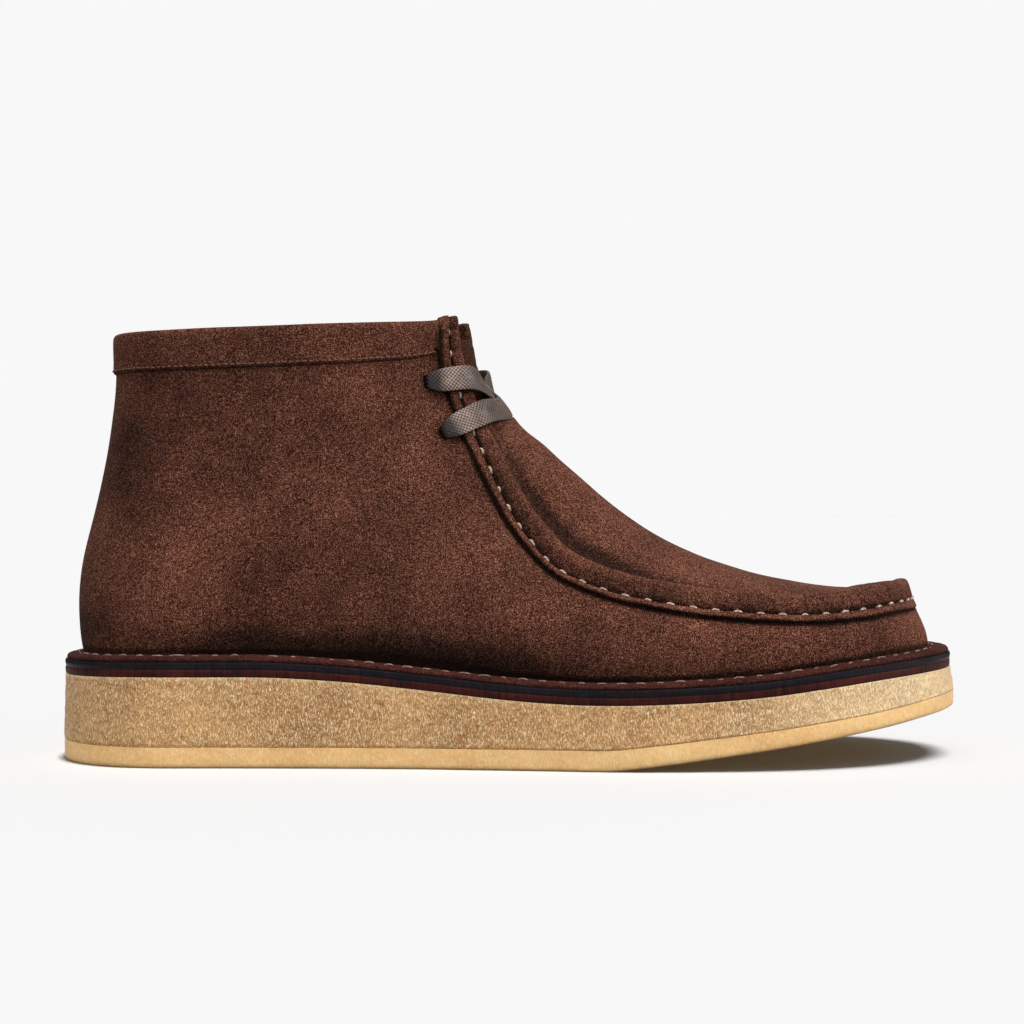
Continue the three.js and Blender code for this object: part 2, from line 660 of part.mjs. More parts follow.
add(
  "outsole",
  layer([
    { inset: same(1.0), height: ground },
    { inset: same(0.2), height: raised(ground, 1.2) },
    { inset: same(0), height: treadTop },
  ]),
  0xe4b97f,
  0.8,
);
add(
  "crepe_wedge",
  layer([
    { inset: same(0), height: raised(treadTop, GAP) },
    { inset: { heel: 0.5, side: 0.5, toe: 1.2 }, height: crepeTop },
  ]),
  0xbc8f5e,
  0.75,
);
const BOARD_EDGE = { heel: 0.6, side: 0.6, toe: 1.4 };
add(
  "midsole",
  layer([
    { inset: BOARD_EDGE, height: raised(crepeTop, GAP) },
    { inset: BOARD_EDGE, height: midsoleTop },
  ]),
  0x502a24,
  0.45,
);
add(
  "runner",
  layer([
    { inset: BOARD_EDGE, height: raised(midsoleTop, GAP) },
    { inset: BOARD_EDGE, height: runnerTop },
  ]),
  0x30222a,
  0.35,
);
const weltPlate = (inset, low, high) => solid(layer([{ inset, height: low }, { inset, height: high }]));
add(
  "welt",
  weltPlate({ heel: 1, side: 1, toe: 1.8 }, raised(runnerTop, GAP), weltTop).subtract(
    weltPlate(WELT_INSIDE, runnerTop, raised(weltTop, GAP)),
  ),
  0x4a2a20,
  0.9,
);
add(
  "insole",
  layer([
    { inset: FOOTBED, height: raised(runnerTop, GAP) },
    { inset: FOOTBED, height: raised(footZ, INSOLE) },
  ]),
  0xa9825a,
  0.7,
);
add("upper", upperSolid(), 0x5a3327, 0.95);
add(
  "tongue",
  apronSheet(range(CORNER + 0.35, 11.4, 9), tongueEdge, tongueRecess, TONGUE, 8),
  0x5a3327,
  0.95,
);
add("lace", laceSolid(), 0x7e6a63, 0.6);

export default boot;
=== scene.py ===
# %% [markdown]
# # A suede desert boot with a moccasin apron
# This lesson dresses a packed boot: a brown suede ankle boot on a natural crepe wedge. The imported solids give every
# size. Each visible piece is then made again as a fine mesh from the same few tables that shaped the solids, because
# suede, crepe and braid need far more points than a solid for collision does.

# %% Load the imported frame
import math

import bmesh
import bpy
import numpy as np
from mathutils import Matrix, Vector, noise


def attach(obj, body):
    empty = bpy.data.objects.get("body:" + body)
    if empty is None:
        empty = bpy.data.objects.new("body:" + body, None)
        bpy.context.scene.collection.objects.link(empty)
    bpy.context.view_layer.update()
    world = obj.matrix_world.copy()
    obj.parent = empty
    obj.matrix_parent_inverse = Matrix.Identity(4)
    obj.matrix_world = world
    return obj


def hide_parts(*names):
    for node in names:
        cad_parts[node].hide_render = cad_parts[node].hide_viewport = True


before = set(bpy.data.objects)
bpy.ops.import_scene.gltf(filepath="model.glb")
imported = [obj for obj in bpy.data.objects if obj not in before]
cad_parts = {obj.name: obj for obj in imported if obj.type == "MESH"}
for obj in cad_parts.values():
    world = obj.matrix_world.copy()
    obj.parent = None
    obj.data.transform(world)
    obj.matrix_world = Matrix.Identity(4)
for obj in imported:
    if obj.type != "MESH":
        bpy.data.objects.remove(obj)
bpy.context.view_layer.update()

MM = 0.001
scene = bpy.context.scene

# %% [markdown]
# ## Camera
# The picture is a product shot, square to the boot's outer side and level but for a hair: it leans by a fifth of a
# degree and sits about a pixel low. A camera 650 mm away and 81 mm above the floor gives the same slight view of the
# near edge of the sole. A long lens alone would flatten that, so distance and height are both set.

# %% Place the camera
CAMERA_AWAY = 650 * MM
CAMERA_HEIGHT = 81 * MM
CAMERA_ALONG = 0.75 * MM
CAMERA_ROLL = 0.2  # degrees
FOCAL_PIXELS = 1918
PICTURE_PIXELS = 1024
PICTURE_DROP = 1.2  # pixels

camera_data = bpy.data.cameras.new("camera")
camera_data.sensor_width = 36
camera_data.lens = 36 * FOCAL_PIXELS / PICTURE_PIXELS
camera_data.shift_y = PICTURE_DROP / PICTURE_PIXELS
camera = bpy.data.objects.new("camera", camera_data)
camera.location = (CAMERA_ALONG, -CAMERA_AWAY, CAMERA_HEIGHT)
camera.rotation_euler = (math.pi / 2, math.radians(CAMERA_ROLL), 0)
scene.collection.objects.link(camera)
scene.camera = camera
print("lens", round(camera_data.lens, 2), "mm")

# %% [markdown]
# ## Small tools for shader nodes
# The studio's white surroundings and all materials are built from nodes in code. A short helper adds a node, fills its
# inputs and links whatever is passed in from other nodes. Patterns that several finishes share become node groups with
# named inputs and outputs.

# %% Helpers for node trees
def set_inputs(tree, node, inputs):
    for name, value in inputs.items():
        if isinstance(value, bpy.types.NodeSocket):
            tree.links.new(value, node.inputs[name])
        else:
            node.inputs[name].default_value = value


def add_node(tree, kind, inputs=None, **settings):
    made = tree.nodes.new(kind)
    for name, value in settings.items():
        setattr(made, name, value)
    set_inputs(tree, made, inputs or {})
    return made


def new_group(name, inputs, outputs):
    group = bpy.data.node_groups.new(name, "ShaderNodeTree")
    for label, kind, value in inputs:
        socket = group.interface.new_socket(label, in_out="INPUT", socket_type=kind)
        socket.default_value = value
    for label, kind in outputs:
        group.interface.new_socket(label, in_out="OUTPUT", socket_type=kind)
    return group, group.nodes.new("NodeGroupInput").outputs, group.nodes.new("NodeGroupOutput")


def mix_colours(tree, factor, first, second):
    """The Mix node has sockets for every kind of value, so the colour ones are reached by number."""
    made = add_node(tree, "ShaderNodeMix", data_type="RGBA")
    set_inputs(tree, made, {0: factor, 6: first, 7: second})
    return made.outputs[2]


def maths(tree, operation, first, second=0.0, third=0.0, clamp=False):
    return add_node(
        tree, "ShaderNodeMath", {0: first, 1: second, 2: third}, operation=operation, use_clamp=clamp
    ).outputs[0]


def remap(tree, value, from_min, from_max, to_min=0.0, to_max=1.0):
    ends = {"From Min": from_min, "From Max": from_max, "To Min": to_min, "To Max": to_max}
    return add_node(tree, "ShaderNodeMapRange", {"Value": value, **ends}).outputs[0]


def noise_node(tree, place, scale, detail=2.0, roughness=0.5):
    inputs = {"Vector": place, "Scale": scale, "Detail": detail, "Roughness": roughness}
    return add_node(tree, "ShaderNodeTexNoise", inputs).outputs["Fac"]


def colour(red, green, blue):
    """A colour given as it looks on a screen, 0 to 255, turned into the linear values that shaders use."""
    values = [v / 255 for v in (red, green, blue)]
    return (*[v / 12.92 if v <= 0.04045 else ((v + 0.055) / 1.055) ** 2.4 for v in values], 1.0)


FLOAT, COLOUR = "NodeSocketFloat", "NodeSocketColor"

# %% [markdown]
# ## Light and floor
# The boot stands in an even white studio. The camera sees one flat white behind it, but the light that comes from there
# is weaker, and weakest from below. One world shader with two backgrounds does both, told apart by the kind of ray. A
# white wall modelled round the boot would light it from every side.

# %% Set the background
BACKGROUND = 0.94
SKY_LIGHT = 0.2
LOW_SKY_LIGHT = 0.08
HORIZON = -0.15, 0.25  # the sky's light grows between these heights of its direction

scene.view_settings.view_transform = "Standard"
world = bpy.data.worlds.new("studio")
scene.world = world
world.use_nodes = True
world_tree = world.node_tree
world_tree.nodes.clear()
direction = add_node(world_tree, "ShaderNodeTexCoord").outputs["Generated"]
height = add_node(world_tree, "ShaderNodeSeparateXYZ", {0: direction}).outputs["Z"]
sky_strength = remap(world_tree, height, *HORIZON, LOW_SKY_LIGHT, SKY_LIGHT)
white = (1, 1, 1, 1)
seen = add_node(world_tree, "ShaderNodeBackground", {"Color": white, "Strength": BACKGROUND}).outputs[0]
lighting = add_node(world_tree, "ShaderNodeBackground", {"Color": white, "Strength": sky_strength}).outputs[0]
to_camera = add_node(world_tree, "ShaderNodeLightPath").outputs["Is Camera Ray"]
chosen = add_node(world_tree, "ShaderNodeMixShader", {0: to_camera, 1: lighting, 2: seen}).outputs[0]
add_node(world_tree, "ShaderNodeOutputWorld", {"Surface": chosen})
print("background", len(world_tree.nodes), "nodes")

# %% [markdown]
# ### Soft lights
# Suns with wide angles act as big soft boxes far away, so the floor stays equally bright everywhere and meets the white
# background with no line. Area lamps would leave a bright pool on it. The floor has a light of its own from high above,
# and only the tread throws a shadow in it. That keeps the shadow close under the boot and off the ground beside it.

# %% Place the soft lights
SOFT_LIGHTS = [  # name, degrees to the left of the camera, degrees up, strength, angle
    ("top", 10, 68, 2.0, 40),
    ("right", -72, 22, 2.1, 45),
    ("front", 20, 26, 1.1, 60),
    ("back", 165, 30, 0.8, 60),
    ("floor_top", -80, 76, 2.9, 30),
]
FLOOR_LIGHT = "floor_top"

sole_only = bpy.data.collections.new("sole_only")
off_floor = bpy.data.collections.new("off_floor")
only_floor = bpy.data.collections.new("only_floor")
for name, left, up, strength, angle in SOFT_LIGHTS:
    data = bpy.data.lights.new(name, "SUN")
    data.energy = strength
    data.angle = math.radians(angle)
    lamp = bpy.data.objects.new(name, data)
    turn, rise = math.radians(left), math.radians(up)
    towards = Vector((-math.sin(turn) * math.cos(rise), -math.cos(turn) * math.cos(rise), math.sin(rise)))
    lamp.rotation_euler = towards.to_track_quat("Z", "Y").to_euler()
    scene.collection.objects.link(lamp)
    lamp.light_linking.receiver_collection = only_floor if name == FLOOR_LIGHT else off_floor
    if name == FLOOR_LIGHT:
        lamp.light_linking.blocker_collection = sole_only
print("lights", [row[0] for row in SOFT_LIGHTS])

# %% [markdown]
# ### The floor
# The floor is one large pale sheet with no shine. It throws no light back up at the boot, as if a black card lay just
# out of view, so the low parts stay dark. A shadow catcher would need a second picture to be laid behind it, and this
# sheet is simply lit until it is as bright as the background.

# %% Lay the floor
FLOOR_SHADE = 0.858
FLOOR_SIZE = 60
floor_mesh = bpy.data.meshes.new("floor")
half = FLOOR_SIZE / 2
floor_mesh.from_pydata([(-half, -half, 0), (half, -half, 0), (half, half, 0), (-half, half, 0)], [], [(0, 1, 2, 3)])
floor = bpy.data.objects.new("floor", floor_mesh)
scene.collection.objects.link(floor)
floor_paint = bpy.data.materials.new("pale_floor")
floor_paint.use_nodes = True
floor_shader = floor_paint.node_tree.nodes["Principled BSDF"].inputs
floor_shader["Base Color"].default_value = (FLOOR_SHADE, FLOOR_SHADE, FLOOR_SHADE, 1)
floor_shader["Roughness"].default_value = 1
floor_shader["Specular IOR Level"].default_value = 0
floor_mesh.materials.append(floor_paint)
floor.visible_diffuse = False
off_floor.objects.link(floor)
only_floor.objects.link(floor)
off_floor.collection_objects[0].light_linking.link_state = "EXCLUDE"
print("floor", FLOOR_SIZE, "m wide")

# %% [markdown]
# ## Curves from short tables
# A shoemaker works from a few measured stations. Here each column of a table becomes a smooth curve that never swings
# past its own numbers, so the outline has no bumps between stations. Bezier handles would need far more numbers.

# %% Make a smooth curve from table columns
def table(names, rows):
    return dict(zip(names.split(), np.array(rows, float).T))


def track(x, y, flat=(False, False)):
    slope = np.diff(y) / np.diff(x)
    tangent = np.zeros(len(x))
    tangent[0] = 0 if flat[0] else slope[0]
    tangent[-1] = 0 if flat[1] else slope[-1]
    for i in range(1, len(x) - 1):
        before, after = slope[i - 1], slope[i]
        if before * after > 0:
            most = 3 * min(abs(before), abs(after))
            tangent[i] = math.copysign(min(abs(before + after) / 2, most), before)

    def curve(at):
        at = np.asarray(at, float)
        i = np.clip(np.searchsorted(x, at, side="right") - 1, 0, len(x) - 2)
        span = x[i + 1] - x[i]
        t = np.clip((at - x[i]) / span, 0, 1)
        rise = t * t * (3 - 2 * t)
        bend = span * (tangent[i] * t * (1 - t) ** 2 - tangent[i + 1] * t * t * (1 - t))
        return y[i] * (1 - rise) + y[i + 1] * rise + bend

    return curve


def smoothstep(at, low, high):
    t = np.clip((np.asarray(at, float) - low) / (high - low), 0, 1)
    return t * t * (3 - 2 * t)


# %% [markdown]
# ### The measures of the sole
# One table gives the outline seen from above, outer and inner side, and one the side view: where the tread meets the
# ground and where the crepe ends. Every layer above is a known thickness, so no layer needs a table of its own.

# %% Sizes of the sole, in millimetres
SOLE_LENGTH = 300
LEATHER = 2.0
GAP = 0.3
TREAD = 6.4
MIDSOLE = 2.2
RUNNER = 2.0
WELT = 1.6
INSOLE = 3.0
sole_plan = table(
    "x outer inner",
    [
        (-150, 38.5, 39.5), (-90, 39.5, 39.5), (-35, 42.5, 39), (5, 48, 43.5),
        (45, 53, 50), (68, 52.5, 53), (150, 46.5, 52.5),
    ],
)
sole_side = table(
    "x ground deck",
    [
        (-150, 0, 28.2), (-115, 0, 28.8), (-85, 0, 28.8), (-57, 0, 27.6), (-28, 0, 24.8),
        (-6, 0, 22.4), (10, 0, 21.1), (28, 0, 20.5), (46, 1.7, 20.8), (65, 4.2, 21.7),
        (82, 6.6, 23.1), (98, 9, 25), (120, 12.4, 27.5), (136, 15, 28.8), (150, 16.6, 29.5),
    ],
)
outer_edge = track(sole_plan["x"], sole_plan["outer"])
inner_edge = track(sole_plan["x"], sole_plan["inner"])
ground = track(sole_side["x"], sole_side["ground"])
deck = track(sole_side["x"], sole_side["deck"])


def tread_top(x):
    """The tread is 1.2 mm thinner at the toe, where it springs up."""
    return ground(x) + TREAD - 1.2 * smoothstep(x, 30, 130)


def above_deck(height):
    return lambda x: deck(x) + height


MIDSOLE_TOP = GAP + MIDSOLE
RUNNER_TOP = MIDSOLE_TOP + GAP + RUNNER
WELT_TOP = RUNNER_TOP + GAP + WELT
FOOT = WELT_TOP + GAP
HEEL_ARC = {"start": -108, "power": 2.2, "tip": 0.5}
TOE_ARC = {"start": 72, "power": 2.3, "tip": 6}
FEATHER = {"heel": 6.4, "side": 5.5, "toe": 8.6}
print("sole", SOLE_LENGTH, "mm long,", round(float(outer_edge(60) + inner_edge(60)), 1), "mm wide at the ball")

# %% [markdown]
# ### One outline for every layer
# A cutter works with one paper pattern and moves in from its edge for each layer above. The outline is the same here:
# the plan's curves along the sides, a rounded arc at each end, and a margin for heel, sides and toe. Offsetting a drawn
# curve would fold over itself at the small radius of the heel, and a margin inside the formula can't.

# %% The sole's outline at any margin
def inset(heel, side=None, toe=None):
    return {"heel": heel, "side": heel if side is None else side, "toe": heel if toe is None else toe}


def within(base, by):
    return {name: value + by for name, value in base.items()}


def edge_y(x, side, margin):
    """The sole's edge at x, moved in by a margin. side is -1 outside and 1 inside."""
    heel_end = -SOLE_LENGTH / 2 + margin["heel"]
    toe_end = SOLE_LENGTH / 2 - margin["toe"]

    def arc(t, power):
        return (1 - np.clip(t, 0, 1) ** power) ** (1 / power)

    heel = arc((HEEL_ARC["start"] - x) / (HEEL_ARC["start"] - heel_end), HEEL_ARC["power"])
    toe = arc((x - TOE_ARC["start"]) / (toe_end - TOE_ARC["start"]), TOE_ARC["power"])
    tip = np.where(x < 0, HEEL_ARC["tip"], TOE_ARC["tip"])
    full = side * (np.where(side < 0, outer_edge(x), inner_edge(x)) - margin["side"])
    return tip + (full - tip) * heel * toe


def outline(margin, turns):
    """Points of the sole's outline. A turn of 0 is the heel, pi the toe by the outer side, 2 pi the heel again."""
    heel_end = -SOLE_LENGTH / 2 + margin["heel"]
    toe_end = SOLE_LENGTH / 2 - margin["toe"]
    x = heel_end + (toe_end - heel_end) * (1 - np.cos(turns)) / 2
    side = np.where(turns < math.pi, -1.0, 1.0)
    return np.stack([x, edge_y(x, side, margin)], axis=1)


def even_turns(count):
    """Turns that space points evenly along the edge, the same from heel to toe on both sides."""
    turns = np.linspace(0, math.pi, 4001)
    points = outline(inset(0), turns)
    reach = np.concatenate([[0], np.cumsum(np.linalg.norm(np.diff(points, axis=0), axis=1))])
    half_turns = np.interp(np.linspace(0, reach[-1], count + 1), reach, turns)
    return np.concatenate([half_turns[:-1], 2 * math.pi - half_turns[::-1][:-1]])


heel_tip, toe_tip = outline(inset(0), np.array([0, math.pi]))
print("heel tip", heel_tip.tolist(), "toe tip", toe_tip.tolist())

# %% [markdown]
# ## Turning grids of points into pieces
# Every piece here is a grid of points: across and along, or round and up. One helper joins a grid into quads, and one
# turns points and quads into an object that rides with the boot. Closed pieces get their faces turned outwards, so
# that both the render and the saved mesh read as solid matter.

# %% Helpers for meshes
def quads(rows, columns, wrap_rows=False, wrap_columns=False, first=0):
    i = np.arange(rows if wrap_rows else rows - 1)[:, None]
    j = np.arange(columns if wrap_columns else columns - 1)[None, :]
    down, right = (i + 1) % rows, (j + 1) % columns
    corners = [i * columns + j, i * columns + right, down * columns + right, down * columns + j]
    return (np.stack(np.broadcast_arrays(*corners), axis=-1).reshape(-1, 4) + first).tolist()


def make_piece(name, points, faces, material, slot, node):
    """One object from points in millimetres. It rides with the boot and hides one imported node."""
    mesh = bpy.data.meshes.new(name)
    mesh.from_pydata((np.asarray(points, float).reshape(-1, 3) * MM).tolist(), [], faces)
    mesh.update()
    shape = bmesh.new()
    shape.from_mesh(mesh)
    bmesh.ops.recalc_face_normals(shape, faces=shape.faces)
    shape.to_mesh(mesh)
    shape.free()
    mesh.shade_smooth()
    mesh.materials.append(material)
    piece = bpy.data.objects.new(name, mesh)
    scene.collection.objects.link(piece)
    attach(piece, "root")
    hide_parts(node)
    print(name, len(mesh.polygons), "faces")
    return piece


def shell(front, back, around=False):
    """A closed sheet from two matching grids of points, rows by columns, open or closed round its columns."""
    rows, columns = front.shape[:2]
    other = rows * columns
    faces = quads(rows, columns, wrap_columns=around)
    faces += [[d, c, b, a] for a, b, c, d in quads(rows, columns, wrap_columns=around, first=other)]
    spans = columns if around else columns - 1
    for row in (0, rows - 1):
        base = row * columns
        for j in range(spans):
            a, b = base + j, base + (j + 1) % columns
            faces.append([a, b, b + other, a + other] if row else [b, a, a + other, b + other])
    if not around:
        for column in (0, columns - 1):
            for i in range(rows - 1):
                a, b = i * columns + column, (i + 1) * columns + column
                faces.append([b, a, a + other, b + other] if column else [a, b, b + other, a + other])
    return np.concatenate([front.reshape(-1, 3), back.reshape(-1, 3)]), faces


def sweep(rings):
    """A closed solid from rings of points, with a face on each end."""
    count, around = rings.shape[:2]
    faces = quads(count, around, wrap_columns=True)
    faces.append(list(range(around))[::-1])
    faces.append([(count - 1) * around + j for j in range(around)])
    return rings.reshape(-1, 3), faces


# %% [markdown]
# ### Rounding and unevenness
# Nothing on a leather boot has a hard corner or a true surface. One helper rounds a closed section through its own
# points, and one gives smooth noise at a size in millimetres. Done on the points themselves, both stay in the mesh when
# it is saved, where a subdivision or displace modifier would still have to be applied.

# %% Helpers for soft shapes
def smooth_loop(points, each=4):
    """Rounds closed polygons, shape (..., corners, size), through their own corners."""
    t = np.arange(each) / each
    weights = [-t + 2 * t**2 - t**3, 2 - 5 * t**2 + 3 * t**3, t + 4 * t**2 - 3 * t**3, -(t**2) + t**3]
    around = sum(
        0.5 * weight[:, None] * np.roll(points, 1 - k, axis=-2)[..., :, None, :] for k, weight in enumerate(weights)
    )
    return around.reshape(*points.shape[:-2], -1, points.shape[-1])


def noise_at(points, size, seed=0.0):
    """Smooth noise from -1 to 1, with features about as large as size in millimetres, one size or one per axis."""
    return np.array([noise.noise(Vector(p)) for p in points.reshape(-1, 3) / size + seed]).reshape(points.shape[:-1])


def unit(vectors):
    return vectors / np.maximum(np.linalg.norm(vectors, axis=-1, keepdims=True), 1e-9)


# %% [markdown]
# ### Nap and cloud
# Suede shows two things at once: a short nap of fibres, well under a millimetre, that catches light as pale flecks, and
# wide clouds where a hand has brushed the nap another way. One group makes both from noise of several sizes. A
# photographed texture would show its own light and its tiling, and noise has neither.
# The group also paints the light and shade that each mesh gives it: painted highlights above zero, painted shadows
# below, near black in creases.

# %% Node group: napped suede
def build_nap_group():
    group, given, result = new_group(
        "nap_and_cloud",
        [
            ("Deep", COLOUR, colour(40, 22, 17)),
            ("Middle", COLOUR, colour(84, 50, 39)),
            ("Fleck", COLOUR, colour(150, 108, 90)),
            ("Nap Scale", FLOAT, 1500.0),
            ("Cloud Scale", FLOAT, 30.0),
            ("Brushed And Painted Light", FLOAT, 0.0),
        ],
        [("Color", COLOUR), ("Height", FLOAT)],
    )
    place = add_node(group, "ShaderNodeTexCoord").outputs["Object"]
    cloud = noise_node(group, place, given["Cloud Scale"], 4.0, 0.6)
    nap = noise_node(group, place, given["Nap Scale"], 2.0, 0.6)
    tuft = noise_node(group, place, maths(group, "MULTIPLY", given["Nap Scale"], 0.3), 2.0, 0.6)
    clouded = maths(group, "ADD", remap(group, cloud, 0.3, 0.7, 0.2, 0.8), given["Brushed And Painted Light"], clamp=True)
    base = mix_colours(group, clouded, given["Deep"], given["Middle"])
    speck = maths(group, "MULTIPLY_ADD", tuft, 0.2, nap)
    shade = mix_colours(group, remap(group, speck, 0.63, 0.4, 0.0, 0.85), base, given["Deep"])
    fleck = remap(group, speck, 0.59, 0.83, 0.0, 0.9)
    fleck = maths(group, "MULTIPLY", fleck, maths(group, "MULTIPLY_ADD", clouded, 0.85, 0.35), clamp=True)
    napped = mix_colours(group, fleck, shade, given["Fleck"])
    # Painted shade: strongly negative values darken the colour to near black in creases, grooves and hollows.
    painted_crease_shade = remap(group, given["Brushed And Painted Light"], -0.35, -1.4, 0.0, 0.85)
    group.links.new(mix_colours(group, painted_crease_shade, napped, colour(4, 2, 1)), result.inputs["Color"])
    group.links.new(speck, result.inputs["Height"])
    return group


NAP = build_nap_group()
print(NAP.name, len(NAP.nodes), "nodes")


# %% [markdown]
# ### Suede materials
# All the suede comes from the same two hides: the upper in mid brown and the welt in a darker cut. The nap group feeds
# colour and a fine bump. Sheen on the shader itself gives the pale bloom that fibres show where a surface turns away.
# A float attribute on each mesh says where the nap has been rubbed light or dark, and also carries painted highlights
# and painted shade.

# %% Suede
def new_material(name):
    material = bpy.data.materials.new(name)
    material.use_nodes = True
    return material, material.node_tree, material.node_tree.nodes["Principled BSDF"]


def add_bump(tree, shader, height, strength, distance):
    inputs = {"Height": height, "Strength": strength, "Distance": distance * MM}
    tree.links.new(add_node(tree, "ShaderNodeBump", inputs).outputs["Normal"], shader.inputs["Normal"])


NAP_SCALE = 3000.0
CLOUD_SCALE = 30.0
SHEEN = 0.02


def suede(name, deep, middle, fleck):
    material, tree, shader = new_material(name)
    rubbed_and_painted_light = add_node(tree, "ShaderNodeAttribute", attribute_name="brushed_and_painted_light").outputs["Fac"]
    nap = add_node(tree, "ShaderNodeGroup", node_tree=NAP)
    given = {"Deep": deep, "Middle": middle, "Fleck": fleck, "Nap Scale": NAP_SCALE, "Cloud Scale": CLOUD_SCALE}
    set_inputs(tree, nap, {**given, "Brushed And Painted Light": rubbed_and_painted_light})
    tree.links.new(nap.outputs["Color"], shader.inputs["Base Color"])
    add_bump(tree, shader, nap.outputs["Height"], 0.6, 0.25)
    shader.inputs["Roughness"].default_value = 0.95
    shader.inputs["Specular IOR Level"].default_value = 0.06
    shader.inputs["Sheen Weight"].default_value = SHEEN
    shader.inputs["Sheen Roughness"].default_value = 0.45
    shader.inputs["Sheen Tint"].default_value = colour(226, 178, 160)
    return material


SUEDE = suede("brown_suede", colour(25, 10, 6), colour(80, 39, 27), colour(190, 132, 108))
WELT_SUEDE = suede("welt_suede", colour(24, 10, 9), colour(70, 32, 26), colour(130, 82, 70))
# A darker, redder copy of the upper's suede; its darkness is painted shade for the tongue, which lies recessed under
# the laces.
SHADED_TONGUE_SUEDE = suede("tongue_suede", colour(26, 11, 8), colour(64, 33, 25), colour(124, 82, 68))
print("suede", [m.name for m in (SUEDE, WELT_SUEDE, SHADED_TONGUE_SUEDE)])

# %% [markdown]
# ### Crepe
# Crepe is raw latex rolled into wrinkled sheets and pressed together. It is a little see-through, so its colour comes
# partly from inside, and short pale flecks mark the wrinkles. The group takes a stretch along Z, because the flecks run
# upright along the middle of this sole. The bottom layer is smoother and yellower, with fewer flecks.

# %% Node group and materials: crepe
def build_crepe_group():
    group, given, result = new_group(
        "crepe_flecks",
        [
            ("Deep", COLOUR, colour(150, 104, 62)),
            ("Pale", COLOUR, colour(200, 156, 104)),
            ("Fleck", COLOUR, colour(236, 206, 160)),
            ("Fleck Amount", FLOAT, 0.8),
            ("Fleck Scale", FLOAT, 700.0),
            ("Fringe And Toe Light", FLOAT, 0.0),
        ],
        [("Color", COLOUR), ("Height", FLOAT), ("Roughness", FLOAT)],
    )
    place = add_node(group, "ShaderNodeTexCoord").outputs["Object"]
    upright = add_node(group, "ShaderNodeMapping", {"Vector": place, "Scale": (1.0, 1.0, 0.3)}).outputs["Vector"]
    slanted = {"Vector": place, "Rotation": (0.0, math.radians(58), 0.0), "Scale": (1.0, 1.0, 0.34)}
    slanted = add_node(group, "ShaderNodeMapping", slanted).outputs["Vector"]
    blotch = noise_node(group, place, 45.0, 4.0, 0.6)
    grain = noise_node(group, place, maths(group, "MULTIPLY", given["Fleck Scale"], 0.25), 3.0, 0.6)
    wisp = noise_node(group, upright, given["Fleck Scale"], 1.0, 0.6)
    cross_wisp = noise_node(group, slanted, given["Fleck Scale"], 1.0, 0.6)
    fine = maths(group, "MAXIMUM", wisp, maths(group, "SUBTRACT", cross_wisp, 0.03))
    tone = maths(group, "MULTIPLY_ADD", blotch, 0.7, maths(group, "MULTIPLY", grain, 0.5))
    base = mix_colours(group, remap(group, tone, 0.42, 0.8), given["Deep"], given["Pale"])
    fleck = maths(group, "MULTIPLY", remap(group, fine, 0.52, 0.72), given["Fleck Amount"])
    # This input adds pale flecks along the wedge's top fringe and painted light towards the toe.
    fleck = maths(group, "ADD", fleck, given["Fringe And Toe Light"], clamp=True)
    group.links.new(mix_colours(group, fleck, base, given["Fleck"]), result.inputs["Color"])
    group.links.new(maths(group, "MULTIPLY_ADD", fine, 0.6, grain), result.inputs["Height"])
    group.links.new(remap(group, grain, 0.3, 0.7, 0.62, 0.42), result.inputs["Roughness"])
    return group


CREPE_FLECKS = build_crepe_group()


def crepe(name, deep, pale, fleck, amount, scale, bump):
    material, tree, shader = new_material(name)
    fringe_and_toe_light = add_node(tree, "ShaderNodeAttribute", attribute_name="fringe_and_toe_light").outputs["Fac"]
    flecks = add_node(tree, "ShaderNodeGroup", node_tree=CREPE_FLECKS)
    given = {"Deep": deep, "Pale": pale, "Fleck": fleck, "Fleck Amount": amount, "Fleck Scale": scale}
    set_inputs(tree, flecks, {**given, "Fringe And Toe Light": fringe_and_toe_light})
    tree.links.new(flecks.outputs["Color"], shader.inputs["Base Color"])
    tree.links.new(flecks.outputs["Roughness"], shader.inputs["Roughness"])
    add_bump(tree, shader, flecks.outputs["Height"], bump, 0.5)
    shader.inputs["Subsurface Weight"].default_value = 0.15
    shader.inputs["Subsurface Radius"].default_value = (1.0, 0.6, 0.3)
    shader.inputs["Subsurface Scale"].default_value = 2 * MM
    shader.inputs["Specular IOR Level"].default_value = 0.35
    return material


WEDGE_CREPE = crepe(
    "crepe_wedge", colour(150, 98, 50), colour(212, 160, 98), colour(255, 232, 186), amount=0.9, scale=3000.0, bump=0.7
)
TREAD_CREPE = crepe(
    "crepe_tread", colour(236, 182, 114), colour(255, 210, 144), colour(255, 238, 196),
    amount=0.4, scale=2200.0, bump=0.3,
)
print("crepe", [m.name for m in (WEDGE_CREPE, TREAD_CREPE)])


# %% [markdown]
# ### Board edges and footbed leather
# The two boards are leather seen on its cut edge, inked and rubbed, with fine upright ribs from the trimming wheel. A
# noise drawn out along Z gives the ribs their colour and bump. The grain leather of lining and footbed is the nap group
# again at a coarser scale, since both are hide, and only the length of the fibres differs.

